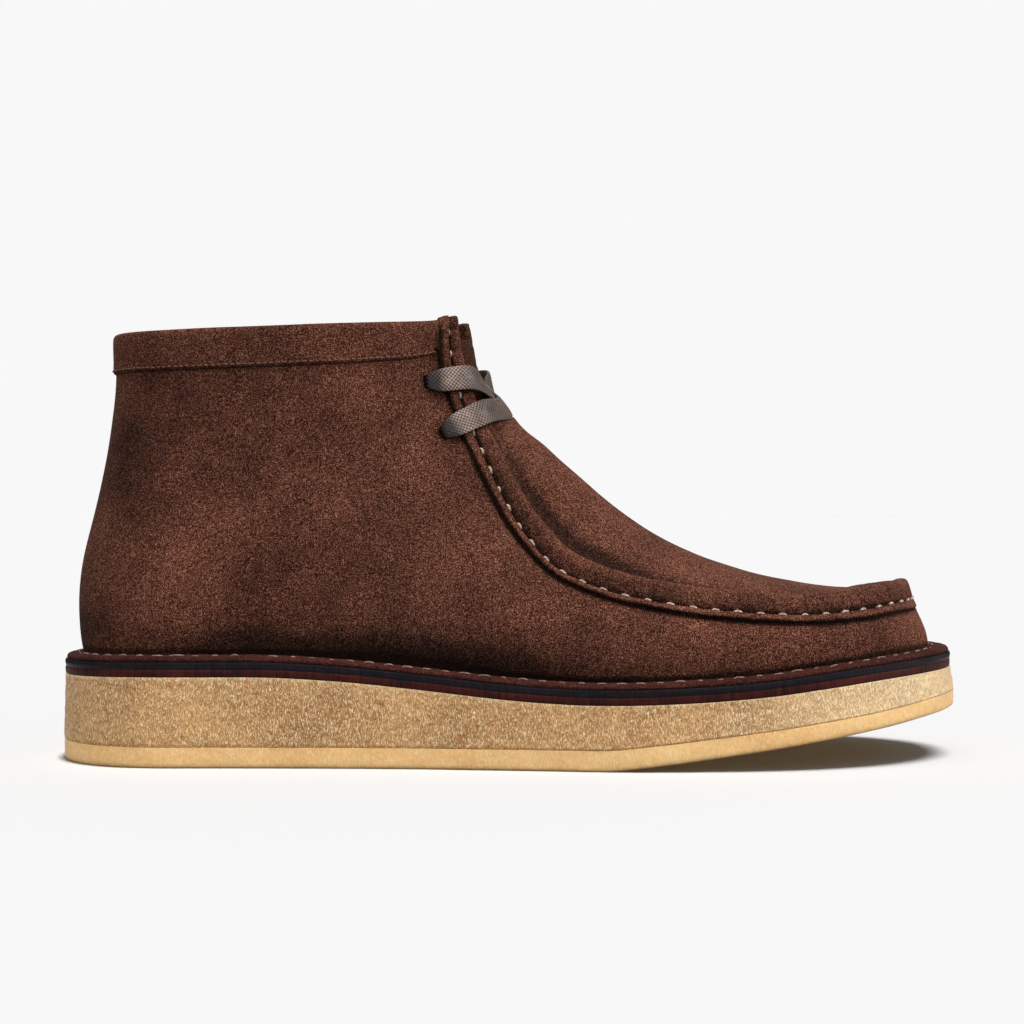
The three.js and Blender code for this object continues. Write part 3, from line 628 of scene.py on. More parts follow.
# %% Node group and materials: board edges and leather
def build_rib_group():
    group, given, result = new_group(
        "trimmed_edge",
        [("Dark", COLOUR, colour(30, 18, 22)), ("Light", COLOUR, colour(80, 50, 50)), ("Rib Scale", FLOAT, 900.0)],
        [("Color", COLOUR), ("Height", FLOAT)],
    )
    place = add_node(group, "ShaderNodeTexCoord").outputs["Object"]
    ribs = add_node(group, "ShaderNodeMapping", {"Vector": place, "Scale": (1.0, 1.0, 0.12)}).outputs["Vector"]
    rib = noise_node(group, ribs, given["Rib Scale"], 2.0, 0.5)
    stain = noise_node(group, place, 60.0, 3.0, 0.6)
    tone = maths(group, "MULTIPLY_ADD", rib, 0.6, maths(group, "MULTIPLY", stain, 0.5))
    inked = mix_colours(group, remap(group, tone, 0.4, 0.75), given["Dark"], given["Light"])
    group.links.new(inked, result.inputs["Color"])
    group.links.new(rib, result.inputs["Height"])
    return group


TRIMMED_EDGE = build_rib_group()
RIB_SCALE = 900.0


def board_edge(name, dark, light, roughness):
    material, tree, shader = new_material(name)
    edge = add_node(tree, "ShaderNodeGroup", node_tree=TRIMMED_EDGE)
    set_inputs(tree, edge, {"Dark": dark, "Light": light, "Rib Scale": RIB_SCALE})
    tree.links.new(edge.outputs["Color"], shader.inputs["Base Color"])
    add_bump(tree, shader, edge.outputs["Height"], 0.5, 0.3)
    shader.inputs["Roughness"].default_value = roughness
    shader.inputs["Specular IOR Level"].default_value = 0.12
    return material


def leather(name, deep, middle, fleck):
    """Grain leather for the lining and the footbed: the nap group at a coarser scale, with little bump."""
    material, tree, shader = new_material(name)
    nap = add_node(tree, "ShaderNodeGroup", node_tree=NAP)
    set_inputs(tree, nap, {"Deep": deep, "Middle": middle, "Fleck": fleck, "Nap Scale": 700.0, "Cloud Scale": 22.0})
    tree.links.new(nap.outputs["Color"], shader.inputs["Base Color"])
    add_bump(tree, shader, nap.outputs["Height"], 0.25, 0.2)
    shader.inputs["Roughness"].default_value = 0.6
    return material


MAROON_EDGE = board_edge("maroon_board", colour(22, 4, 4), colour(74, 24, 17), 0.6)
DARK_EDGE = board_edge("dark_board", colour(6, 4, 7), colour(27, 18, 28), 0.5)
LINING = leather("lining_leather", colour(52, 32, 24), colour(92, 62, 46), colour(120, 86, 66))
FOOTBED = leather("footbed_leather", colour(120, 84, 52), colour(172, 130, 88), colour(196, 156, 112))
print("leather", [m.name for m in (MAROON_EDGE, DARK_EDGE, LINING, FOOTBED)])

# %% [markdown]
# ### Thread and lace
# Thread and lace both show twisted strands, so their meshes carry a "strand" attribute that is high on a strand and low
# between, and one group turns it into colour, with painted shade in the gaps between strands. A tiled image of a braid
# would stretch where the lace bends.

# %% Node group and materials: strands
def build_strand_group():
    group, given, result = new_group(
        "strands",
        [("Gap Shade", COLOUR, colour(60, 46, 40)), ("Strand", COLOUR, colour(150, 128, 118)), ("Strand Value", FLOAT, 1.0)],
        [("Color", COLOUR), ("Height", FLOAT)],
    )
    place = add_node(group, "ShaderNodeTexCoord").outputs["Object"]
    fibre = noise_node(group, place, 2200.0, 2.0, 0.6)
    mottle = noise_node(group, place, 300.0, 2.0, 0.6)
    lit = maths(group, "MULTIPLY", given["Strand Value"], remap(group, mottle, 0.3, 0.7, 0.7, 1.15), clamp=True)
    colours = mix_colours(group, lit, given["Gap Shade"], given["Strand"])
    worn = mix_colours(group, remap(group, fibre, 0.4, 0.75, 0.0, 0.35), colours, given["Gap Shade"])
    group.links.new(worn, result.inputs["Color"])
    group.links.new(fibre, result.inputs["Height"])
    return group


STRANDS = build_strand_group()


def strands(name, gap_shade, strand, roughness, coat=0.0):
    material, tree, shader = new_material(name)
    value = add_node(tree, "ShaderNodeAttribute", attribute_name="strand").outputs["Fac"]
    made = add_node(tree, "ShaderNodeGroup", node_tree=STRANDS)
    set_inputs(tree, made, {"Gap Shade": gap_shade, "Strand": strand, "Strand Value": value})
    tree.links.new(made.outputs["Color"], shader.inputs["Base Color"])
    add_bump(tree, shader, made.outputs["Height"], 0.3, 0.1)
    shader.inputs["Roughness"].default_value = roughness
    shader.inputs["Specular IOR Level"].default_value = 0.2
    shader.inputs["Coat Weight"].default_value = coat
    shader.inputs["Coat Roughness"].default_value = 0.3
    return material


SEAM_THREAD = strands("seam_thread", colour(96, 68, 56), colour(238, 208, 184), 0.55)
FINE_THREAD = strands("fine_thread", colour(70, 40, 30), colour(150, 106, 88), 0.7)
WELT_THREAD = strands("welt_thread", colour(70, 44, 36), colour(196, 156, 138), 0.6)
LACE_BRAID = strands("lace_braid", colour(6, 4, 3), colour(216, 186, 170), 0.32, coat=0.15)
print("materials", len(bpy.data.materials))

# %% [markdown]
# ## The sole, layer by layer
# The sole is a stack: a pale crepe tread, a thick crepe wedge, a maroon board and a dark board. Each is the same
# outline at its own margin, so each is a stack of rings with a cap at both ends. A single lofted block with painted
# bands would lose the small steps and shadows between the layers, which is what shows that they are separate.

# %% Build a layer from rings
GAPS = GAP / 2  # visible layers meet in the middle of the gap between their solids
SHARP = math.radians(48)


def ring_at(margin, height, turns):
    plan = outline(margin, turns)
    return np.column_stack([plan, height(plan[:, 0])])


def plan_normals(turns):
    plan = outline(inset(0), turns)
    step = np.roll(plan, -1, axis=0) - np.roll(plan, 1, axis=0)
    return unit(np.column_stack([step[:, 1], -step[:, 0], np.zeros(len(turns))]))


def layer_faces(rings, around):
    half_way = around // 2
    faces = quads(rings, around, wrap_columns=True)
    for base in (0, (rings - 1) * around):
        for i in range(half_way):
            p, q, s, r = base + i, base + i + 1, base + around - i - 1, base + (around - i) % around
            faces.append([p, q, s] if i == 0 else [p, q, r] if i == half_way - 1 else [p, q, s, r])
    return faces


def layer_piece(name, rings, material, slot, node):
    piece = make_piece(name, rings, layer_faces(*rings.shape[:2]), material, slot, node)
    piece.data.set_sharp_from_angle(angle=SHARP)
    return piece


def set_value(piece, name, values):
    layer_values = piece.data.attributes.new(name, "FLOAT", "POINT")
    layer_values.data.foreach_set("value", np.asarray(values, np.float32).ravel())


# %% [markdown]
# ### The tread layer
# The bottom sheet of crepe is cut with a knife and then rounded a little where it meets the ground. Its rings therefore
# start 1.5 mm in from the edge, and go out and up in small steps. A bevel modifier would round the upper corner too.

# %% Tread layer of crepe
TREAD_AROUND = even_turns(420)
TREAD_ROUNDING = [(0.0, 1.5), (0.0, 0.9), (0.25, 0.45), (0.8, 0.15), (1.6, 0.05), (3.0, 0.0)]  # height, margin
TREAD_ROUNDED = 3.0
TREAD_STEPS = (0.7, 0.85, 1.0)


def tread_ring(margin, level=TREAD_ROUNDED, part=0.0):
    """A ring at a level above the ground, then a part of the way up to the wedge."""

    def height(x):
        return ground(x) + level + part * (tread_top(x) + GAPS - ground(x) - TREAD_ROUNDED)

    return ring_at(inset(margin), height, TREAD_AROUND)


tread_rings = [tread_ring(margin, level) for level, margin in TREAD_ROUNDING]
tread_rings = np.array(tread_rings + [tread_ring(0.0, part=part) for part in TREAD_STEPS])
outward = plan_normals(TREAD_AROUND)
wobble = 0.16 * noise_at(tread_rings, np.array([9.0, 9.0, 4.0])) + 0.1 * noise_at(tread_rings, 2.2, 7.0)
edge_only = np.array([0, 0.3, 0.8, 1, 1, 1, 1, 1, 0.6])[:, None]
tread_rings += outward * (wobble * edge_only - 0.12)[..., None]
tread_rings[..., 2] = np.maximum(tread_rings[..., 2], 0.0)
layer_piece("tread", tread_rings, TREAD_CREPE, "crepe_tread", "outsole")

# %% [markdown]
# ### The crepe wedge
# The wedge's side is the roughest surface on the boot: wrinkles a millimetre or so wide, upright along the middle and
# without order at the heel. They are real relief, pushed out of a dense grid with noise of two sizes. A bump map alone
# would leave the outline perfectly straight, and the low light along the side would slide over it.

# %% Crepe wedge with wrinkled sides
WEDGE_AROUND = even_turns(640)
WEDGE_ROWS = 34
WRINKLE_DEPTH = 0.3
wedge_parts = np.linspace(0, 1, WEDGE_ROWS)
wedge_rings = []
for part in wedge_parts:
    tuck = 0.45 * max(0.0, 1 - part / 0.05) ** 2
    margin = inset(0.5 * part + tuck, 0.5 * part + tuck, 1.2 * part + tuck)
    plan = outline(margin, WEDGE_AROUND)
    low, high = tread_top(plan[:, 0]) + GAPS, deck(plan[:, 0]) + GAPS
    wedge_rings.append(np.column_stack([plan, low + part * (high - low)]))
wedge_rings = np.array(wedge_rings)
wrinkles = noise_at(wedge_rings, np.array([1.5, 1.5, 3.2]), 3.0) * 0.55
wrinkles += noise_at(wedge_rings, np.array([3.8, 3.8, 2.6]), 11.0) * 0.5
wrinkles += noise_at(wedge_rings, np.array([0.8, 0.8, 1.2]), 5.0) * 0.3
edge_calm = np.clip(np.minimum(wedge_parts, 1 - wedge_parts) * 12, 0.25, 1)[:, None]
wedge_rings += plan_normals(WEDGE_AROUND) * (WRINKLE_DEPTH * (wrinkles - 0.25) * edge_calm)[..., None]
wedge = layer_piece("crepe_wedge_body", wedge_rings, WEDGE_CREPE, "crepe", "crepe_wedge")
fringe_low = 1 - 0.035 * (1 + 1.3 * noise_at(wedge_rings[-1], 1.2, 2.0))
# Painted light: the flecks grow denser and paler towards the toe.
toe_painted_light = 0.35 * smoothstep(wedge_rings[..., 0], 50, 135)
set_value(wedge, "fringe_and_toe_light", smoothstep(wedge_parts[:, None], fringe_low - 0.02, fringe_low + 0.03) * 0.3 + toe_painted_light)

# %% [markdown]
# ### Board edges
# The boards are cut a little inside the crepe, so each casts a thin shadow on the layer below. Their edges bulge, as
# leather does under an edging iron. The wheel's ribs on the dark one are real relief, fine enough to catch the light.

# %% Two boards with bulged edges
BOARD_AROUND = even_turns(360)
RIBBED_AROUND = even_turns(2400)
BOARD_EDGE = inset(0.6, 0.6, 1.4)
RIBS_ROUND = 760  # fine upright ribs left by the edging wheel


def board(name, low, high, bulge, turns, material, slot, node, rough, ribbed=0.0):
    """A plate with a bulged edge. rough is its unevenness and ribbed the depth of its ribs."""
    rings = []
    parts = np.linspace(0, 1, 9)
    for part in parts:
        margin = within(BOARD_EDGE, 0.2 - bulge * (1 - (2 * part - 1) ** 4))
        rings.append(ring_at(margin, above_deck(low + part * (high - low)), turns))
    rings = np.array(rings)
    moved = rough * noise_at(rings, np.array([6.0, 6.0, 1.5]), low)
    comb = np.cos(np.arange(len(turns)) * 2 * np.pi * RIBS_ROUND / len(turns))
    moved += ribbed * comb * (0.7 + 0.5 * noise_at(rings, 4.0, 2.0)) * smoothstep(parts, 0.35, 0.7)[:, None]
    rings += plan_normals(turns) * moved[..., None]
    return layer_piece(name, rings, material, slot, node)


board(
    "maroon_board_edge", GAPS, MIDSOLE_TOP + GAPS, 0.25, BOARD_AROUND, MAROON_EDGE, "maroon_board", "midsole",
    rough=0.12,
)
board(
    "dark_board_edge", MIDSOLE_TOP + GAPS, RUNNER_TOP + GAPS, 0.3, RIBBED_AROUND, DARK_EDGE, "dark_board", "runner",
    rough=0.1, ribbed=0.16,
)

# %% [markdown]
# ### Welt and footbed
# The welt is a suede strip that the upper is stitched through, so it is a ring with a soft rounded edge, and it lifts
# slightly where it meets the upper. The footbed is a plain board inside it, since only its top is ever seen.

# %% Welt and footbed
WELT_OUTSIDE = inset(1.0, 1.0, 1.8)
WELT_INSIDE = within(FEATHER, LEATHER - 0.6)
WELT_SECTION = [  # part of the way in from the outer edge, height above the dark board's top
    (0.06, 0.0), (0.0, 0.35), (0.0, 1.0), (0.05, 1.45), (0.16, 1.75), (0.4, 1.85),
    (0.62, 1.95), (0.78, 2.2), (0.9, 2.5), (1.0, 2.5), (1.0, 1.2), (1.0, 0.0),
]
welt_rings = []
for inward, lift in WELT_SECTION:
    margin = {k: WELT_OUTSIDE[k] + inward * (WELT_INSIDE[k] - WELT_OUTSIDE[k]) for k in WELT_OUTSIDE}
    welt_rings.append(ring_at(margin, above_deck(RUNNER_TOP + GAPS + lift), BOARD_AROUND))
welt_rings = np.array(welt_rings)
welt_wave = 0.22 * noise_at(welt_rings, np.array([7.0, 7.0, 5.0]), 1.0)
outer_edge_only = np.array([0, 1, 1, 1, 1, 0.6, 0.3, 0, 0, 0, 0, 0])[:, None]
welt_rings += plan_normals(BOARD_AROUND) * (welt_wave * outer_edge_only)[..., None]
welt_rings[2:9, :, 2] += 0.2 * noise_at(welt_rings[2:9], np.array([5.0, 5.0, 5.0]), 6.0)
welt_faces = quads(*welt_rings.shape[:2], wrap_rows=True, wrap_columns=True)
make_piece("welt_strip", welt_rings, welt_faces, WELT_SUEDE, "welt_suede", "welt")

FOOTBED_EDGE = within(FEATHER, LEATHER + 4 * GAP)
FOOTBED_SECTION = [  # margin, height
    (0.6, RUNNER_TOP + GAP), (0.0, RUNNER_TOP + 2 * GAP), (0.0, FOOT + 2.2), (0.5, FOOT + 2.8), (1.4, FOOT + INSOLE),
]
footbed_rings = [
    ring_at(within(FOOTBED_EDGE, margin), above_deck(level), even_turns(120)) for margin, level in FOOTBED_SECTION
]
layer_piece("footbed_board", np.array(footbed_rings), FOOTBED, "footbed", "insole")

# %% [markdown]
# ## The upper's ribs
# The quarter is shaped as on a last: a rib at each station, from the feather line at the welt up to the collar or the
# apron seam. Each rib is one Bezier curve, and its handles set how far the wall bulges. Sculpting could give the same
# wall, but the ribs keep it exactly on the solid it stands for.

# %% Rib table and its curves
RIBS = table(
    "footX topX topY topZ lowOut lowUp topOut topDown topBack",
    [
        (-143.4, -132.9, 0, 141.0, 6.4, 30, -3, 43, 0), (-137, -128, 15.5, 140.9, 6.0, 30, -3, 42, 0),
        (-118, -113, 27, 140.8, 5.5, 31, -3, 40, 0), (-98, -92, 32, 141.2, 5.0, 32, -2.5, 38, 0),
        (-78, -68, 32, 142.0, 5.0, 33, -1.5, 36, 0), (-62, -47, 27.5, 143.0, 5.0, 34, 0, 34, 4),
        (-50, -28, 19, 144.2, 5.0, 36, 4, 33, 10), (-44, -20.4, 14, 145.2, 5.0, 36, 6, 32, 14),
        (-36, -18.4, 14.2, 130, 5.0, 34, 8, 26, 16), (-27, -13.6, 16, 114, 5.0, 31, 10, 20, 15),
        (-20, -9.6, 19.5, 104.2, 5.0, 28, 11, 16, 13), (-8, -1.4, 25.5, 86.2, 5.0, 23, 11, 11, 9),
        (3, 6.1, 30, 73.9, 4.8, 19, 10, 8, 6), (16, 16, 34, 63.4, 4.5, 14.5, 8.5, 5.5, 4),
        (32, 29.3, 38, 57.3, 4.0, 11.5, 7, 4, 2), (47, 43, 41, 53.8, 3.8, 9.8, 6, 3.3, 1),
        (68, 64, 43.5, 50.8, 3.4, 8, 5, 3, 0), (97, 92.2, 42.5, 49, 2.6, 7, 4, 3, 0),
        (118, 112, 36.5, 50.5, 1.6, 6.5, 3, 4, 0), (130, 123, 28.5, 52.2, 1.0, 6, 2.3, 4.8, 0),
        (138, 131.5, 17, 52.8, 0.5, 5.6, 1.9, 5, 0), (141.4, 136.2, 0, 53, 0.3, 5.5, 1.8, 5, 0),
    ],
)
RIB = np.arange(22.0)
CORNER, THROAT, TOE_CORNER, TOE = 7, 9, 18, 21
LOOP = 2 * TOE
AHEAD = 5.0  # the inner facing stands this far in front of the outer one
STEP = 0.04


def top_column(name, flat):
    collar = track(RIB[: CORNER + 1], RIBS[name][: CORNER + 1], (flat, False))
    seam = track(RIB[CORNER:], RIBS[name][CORNER:], (False, flat))
    return lambda rib: np.where(rib < CORNER, collar(rib), seam(rib))


column = {name: track(RIB, RIBS[name], (True, True)) for name in RIBS}
column.update(topX=top_column("topX", True), topY=top_column("topY", False), topZ=top_column("topZ", True))
middle_y = track(*np.array([(-134, 0), (-30, -1), (40, 0), (90, 2.5), (137, 6)], float).T)
crown = track(
    *np.array(
        [
            (-12, 146), (-6.5, 131), (0.5, 115), (12.5, 103.3), (28.7, 88.8), (44.9, 76.3),
            (61, 67.8), (77.4, 62.1), (93.6, 58.7), (109.8, 56.3), (127.5, 55.2),
        ],
        float,
    ).T
)
print(len(RIB), "ribs")

# %% [markdown]
# ### Points on the wall
# Any place on the quarter is told by two numbers: how far round it is, in ribs, and how far up its rib, as a part of
# the rib's length. Parts of a length, and not Bezier steps, keep the rows of a mesh evenly spaced from rib to rib.

# %% Ends and handles of the ribs
def place(around):
    at = np.mod(around, LOOP)
    return np.where(at <= TOE, at, LOOP - at), np.where(at <= TOE, -1.0, 1.0)


def foot_point(around):
    rib, side = place(around)
    x = column["footX"](rib)
    return np.stack([x, edge_y(x, side, FEATHER), deck(x) + FOOT], axis=-1)


def top_point(around):
    rib, side = place(around)
    ahead = np.where(side > 0, AHEAD * np.exp(-(((rib - CORNER - 1) / 3.2) ** 2)), 0)
    x = column["topX"](rib) + ahead
    return np.stack([x, middle_y(x) + side * column["topY"](rib), column["topZ"](rib)], axis=-1)


def slope_of(curve, at, low=-np.inf, high=np.inf):
    return unit(curve(np.minimum(at + STEP, high)) - curve(np.maximum(at - STEP, low)))


def rib_handles(around):
    rib, _ = place(around)
    foot, top = foot_point(around), top_point(around)
    along = slope_of(foot_point, around)
    outward = unit(np.stack([along[:, 1], -along[:, 0], 0 * rib], axis=-1))
    low = foot + outward * column["lowOut"](rib)[:, None]
    low[:, 2] += column["lowUp"](rib)
    high = top + outward * column["topOut"](rib)[:, None]
    high[:, 0] -= column["topBack"](rib)
    high[:, 2] -= column["topDown"](rib)
    return np.stack([foot, low, high, top], axis=1)


print("top of the heel", top_point(np.array([0.0]))[0].round(1).tolist())

# %% [markdown]
# ### The wall between the ribs
# The wall itself is never stored. A function gives its point and its normal anywhere, so the lining, the band, the lip
# and every stitch are placed on exactly the same surface. A shrinkwrap modifier would come close, but it jumps at the
# tight curves of the facing.

# %% Points and normals of the quarter's wall
def bezier(t):
    return np.stack([(1 - t) ** 3, 3 * t * (1 - t) ** 2, 3 * t * t * (1 - t), t**3], axis=-1)


def wall(around, up):
    """Outside of the quarter, shape (ups, arounds, 3). up is 0 at the welt and 1 at the top, by length."""
    handles = rib_handles(around)
    fine = np.linspace(0, 1, 121)
    line = np.einsum("tk,nkc->ntc", bezier(fine), handles)
    reach = np.cumsum(np.linalg.norm(np.diff(line, axis=1), axis=2), axis=1)
    reach = np.concatenate([np.zeros((len(around), 1)), reach], axis=1) / reach[:, -1:]
    up = np.broadcast_to(up if np.ndim(up) == 2 else np.reshape(up, (-1, 1)), (len(up), len(around)))
    t = np.stack([np.interp(up[:, n], reach[n], fine) for n in range(len(around))], axis=1)
    return np.einsum("mnk,nkc->mnc", bezier(t), handles)


def rib_length(around):
    line = wall(around, np.linspace(0, 1, 60))
    return np.linalg.norm(np.diff(line, axis=0), axis=2).sum(axis=0)


def wall_normal(around, up):
    up = np.broadcast_to(up if np.ndim(up) == 2 else np.reshape(up, (-1, 1)), (len(up), len(around)))
    across = wall(around + STEP, up) - wall(around - STEP, up)
    rise = wall(around, np.minimum(up + STEP, 1)) - wall(around, np.maximum(up - STEP, 0))
    return unit(np.cross(across, rise))


def spaced(around_from, around_to, count, curve):
    """Arounds that are evenly spaced by length along a curve."""
    fine = np.linspace(around_from, around_to, 3000)
    reach = np.concatenate([[0], np.cumsum(np.linalg.norm(np.diff(curve(fine), axis=0), axis=1))])
    return np.interp(np.linspace(0, reach[-1], count), reach, fine), reach[-1]


print("ribs at heel and toe", rib_length(np.array([0.0, float(TOE)])).round(1).tolist(), "mm long")

# %% [markdown]
# ## The apron seam
# The apron's edge is rolled over and hand-sewn to the turned edge of the quarter, which leaves three forms side by
# side: a flat lip, a groove with the stitches in it, and a full round roll. All are placed in one frame that runs along
# the seam, with "across" pointing at the apron's middle and "out" pointing away from the foot.

# %% The frame along the seam
APRON = table(
    "rib midX rollWide rollHigh recess tongueEdge groove",
    [
        (7, -12, 4.4, 2.8, 4.8, -0.22, 1.0), (8, -6.5, 4.6, 2.9, 4.4, -0.2, 1.0), (9, 3.5, 5.0, 3.1, 3.2, 0.05, 1.1),
        (10, 8, 6.5, 3.4, 2.4, 0.14, 1.0), (11, 14.5, 7.5, 4.0, 2.4, 0.2, 1.4), (13, 31.5, 9.0, 5.0, 2.4, 0.2, 1.8),
        (16, 78.5, 9.5, 5.2, 2.4, 0.2, 1.9), (18, 108, 9.5, 5.0, 2.4, 0.2, 1.6), (21, 112, 9.0, 4.8, 2.4, 0.2, 1.1),
    ],
)
seam_value = {name: track(APRON["rib"], APRON[name]) for name in APRON}
FACING_RISE = 0.8
SEAM_PITCH = 7.1


def seam_frame(around):
    rib, _ = place(around)
    top = top_point(around)
    x = seam_value["midX"](rib)
    along = slope_of(top_point, around, CORNER, LOOP - CORNER)
    across = np.stack([x, middle_y(x), crown(x)], axis=-1) - top
    across = unit(across - along * np.sum(across * along, axis=-1, keepdims=True))
    return top, along, across, np.cross(along, across)


def seam_points(around, across, out):
    """Points beside the seam, shape (arounds, ..., 3), from matching arrays of distances across and out."""
    top, _, to_middle, outward = (part[:, None] for part in seam_frame(around))
    return top + to_middle * across[..., None] + outward * out[..., None]


def seam_line(around):
    return seam_points(around, np.zeros((len(around), 1)), np.zeros((len(around), 1)))[:, 0]


seam_around, seam_length = spaced(CORNER, LOOP - CORNER, 620, seam_line)
print("seam", round(seam_length), "mm long")

# %% [markdown]
# ### The width of the lip
# The quarter's top edge is turned outwards before it is sewn, which leaves a lip of one width all along the seam. Where
# a rib meets the seam at a slant, the lip reaches further down that rib, so its width is divided by the slant.

# %% How far the turned lip reaches down from the seam
LIP_WIDTH = 4.5
LIP_LIFT = 1.7
TOE_LIP_LIFT = 0.6
LIP_RUNOUT = 0.5


def lip_drop(around):
    rib, side = place(around)
    inside = np.maximum(rib, CORNER)
    nearest = np.where(side < 0, inside, LOOP - inside)
    tops = wall(nearest, np.array([1.0, 0.99]))
    slant = np.linalg.norm(np.cross(unit(tops[0] - tops[1]), seam_frame(nearest)[1]), axis=1)
    return LIP_WIDTH / np.maximum(0.35, slant) * np.minimum(1, (rib - CORNER + LIP_RUNOUT) / LIP_RUNOUT + 0.05)


print("lip reaches down", lip_drop(np.array([9.0, 13.0, float(TOE)])).round(1).tolist(), "mm")

# %% [markdown]
# ### The quarter and its lining
# Suede over a lining reads as one soft wall, but the cut at the top and the eyelet holes show two layers. Both are
# closed sheets that follow the wall. A few broad hollows and swells are placed where a worn-in hide gives: behind the
# ankle, over the heel and along the bend of the foot. Cloth simulation would wander away from the last.

# %% Soft forms, brushed patches and painted light and shade of the quarter
SOFT_FORMS = [  # x, z, how long, how high, turn in degrees, depth; the same on both sides
    (-96, 92, 40, 20, 25, -0.5),
    (-60, 70, 34, 26, -30, 0.45),
    (-118, 62, 16, 26, 0, 0.5),
    (-34, 82, 10, 30, 28, -0.5),
    (-10, 62, 12, 24, 40, -0.4),
    (12, 50, 30, 9, -8, 0.35),
    (-145, 66, 8, 16, 0, 0.6),
]
# Most patches are painted light and shade: painted highlights low on the heel and on the toe front, painted shadows
# above the welt, high on the heel and down its back edge.
BRUSHED_AND_PAINTED_LIGHT_PATCHES = [  # x, z, how long, how high, turn in degrees, amount; light is above zero
    (-108, 60, 22, 15, 35, 0.5),
    (-92, 78, 16, 10, 25, 0.28),
    (-64, 92, 46, 16, 0, -0.08),
    (-34, 33, 52, 7, -4, -1.5),
    (-84, 40, 20, 6, 0, -0.35),
    (-122, 100, 16, 26, 0, -0.3),
    (10, 46, 60, 10, -6, 0.05),
    (90, 44, 50, 12, 0, 0.12),
    (136, 44, 10, 14, 0, 0.5),
    (-144, 60, 5, 40, 0, -0.35),
]


def hand_placed(points, rows):
    total = np.zeros(points.shape[:-1])
    for x, z, long, high, turn, amount in rows:
        dx, dz = points[..., 0] - x, points[..., 2] - z
        turn = math.radians(turn)
        along, across = dx * math.cos(turn) + dz * math.sin(turn), dz * math.cos(turn) - dx * math.sin(turn)
        total += amount * np.exp(-((along / long) ** 2) - (across / high) ** 2)
    return total


# Brushed clouds from noise, plus the patches of painted light and shade.
def brushed_and_painted_light(points):
    return hand_placed(points, BRUSHED_AND_PAINTED_LIGHT_PATCHES) + 0.16 * noise_at(points, 11.0, 4.0) + 0.1 * noise_at(points, 3.0, 9.0)


print(len(SOFT_FORMS), "soft forms,", len(BRUSHED_AND_PAINTED_LIGHT_PATCHES), "brushed patches")

# %% [markdown]
# ### Two sheets from the wall
# Both sheets start from the same points and normals of the wall. The quarter takes the soft forms and painted shade
# along its edges, under the lip and above the welt, and the lining stays smooth, since little of it is seen.

# %% Build the quarter and the lining
QUARTER_COLUMNS = 12 * LOOP
QUARTER_ROWS = 96
LINING_ROWS = 60
BELOW_EDGE = 0.8  # both stop this far below the collar and the seam
QUARTER_THICK = 1.15
LINING_DEPTH = 1.2
quarter_around = np.linspace(0, LOOP, QUARTER_COLUMNS, endpoint=False)
quarter_length = rib_length(quarter_around)


def wall_rows(count):
    """Rows up the wall, with their points and normals."""
    up = np.linspace(0, 1, count)[:, None] * (1 - BELOW_EDGE / quarter_length)[None, :]
    return up, wall(quarter_around, up), wall_normal(quarter_around, up)


quarter_up, quarter_wall, quarter_out = wall_rows(QUARTER_ROWS)
fade = smoothstep(quarter_up, 0.02, 0.2) * (1 - smoothstep(quarter_up, 0.82, 0.97))
soft = hand_placed(quarter_wall, SOFT_FORMS) * fade + 0.12 * noise_at(quarter_wall, 14.0, 2.0) * fade
quarter_face = quarter_wall + quarter_out * soft[..., None]
quarter_sheet = shell(quarter_face, quarter_wall - QUARTER_THICK * quarter_out, True)
quarter = make_piece("quarter", *quarter_sheet, SUEDE, "suede", "upper")
lip_reach = np.where(place(quarter_around)[0] < CORNER, -9, lip_drop(quarter_around) + 0.3)
below_lip = (1 - quarter_up) * quarter_length - lip_reach
above_welt = quarter_up * quarter_length
# Painted shadow: a dark line just under the lip's cut edge and another just above the welt.
painted_crease_shadows = 1.3 * np.exp(-((below_lip / 0.8) ** 2)) + 1.1 * np.exp(-((above_welt - 0.6) / 1.2) ** 2)
set_value(quarter, "brushed_and_painted_light", np.tile((brushed_and_painted_light(quarter_face) - painted_crease_shadows).ravel(), 2))
_, lining_wall, lining_out = wall_rows(LINING_ROWS)
lining_sheet = shell(lining_wall - LINING_DEPTH * lining_out, lining_wall - LEATHER * lining_out, True)
lining = make_piece("lining", *lining_sheet, LINING, "suede", "upper")

# %% [markdown]
# ### Eyelet holes
# The laces pass through plain punched holes, two on each facing, with no metal ring. A round cutter square to the wall
# takes the hole out of each layer, just as a hand punch does, a little smaller in the lining, which closes up round the
# lace. The cutter is thrown away afterwards.

# %% Punch the holes
EYELETS = {  # x, z, side
    "lower_outer": (-21.3, 107.4, -1),
    "upper_outer": (-26.8, 124.2, -1),
    "lower_inner": (-19.3, 107.4, 1),
    "upper_inner": (-23.8, 124.2, 1),
}
HOLE_RADIUS = 2.4
LINING_HOLE_RADIUS = 1.8


def wall_at(x, z, side):
    """The point and normal on the wall at a given x and z, found by stepping towards it."""
    rib, up = CORNER + 1.0, 0.9

    def at(r, u):
        return wall(np.array([r if side < 0 else LOOP - r]), np.array([u]))[0, 0]

    for _ in range(14):
        here = at(rib, up)
        by_rib = (at(rib + STEP, up) - here) / STEP
        by_up = (here - at(rib, up - STEP)) / STEP
        steps = np.linalg.solve([[by_rib[0], by_up[0]], [by_rib[2], by_up[2]]], [x - here[0], z - here[2]])
        rib, up = rib + steps[0], min(1.0, up + steps[1])
    around = np.array([rib if side < 0 else LOOP - rib])
    return at(rib, up), wall_normal(around, np.array([up]))[0, 0]


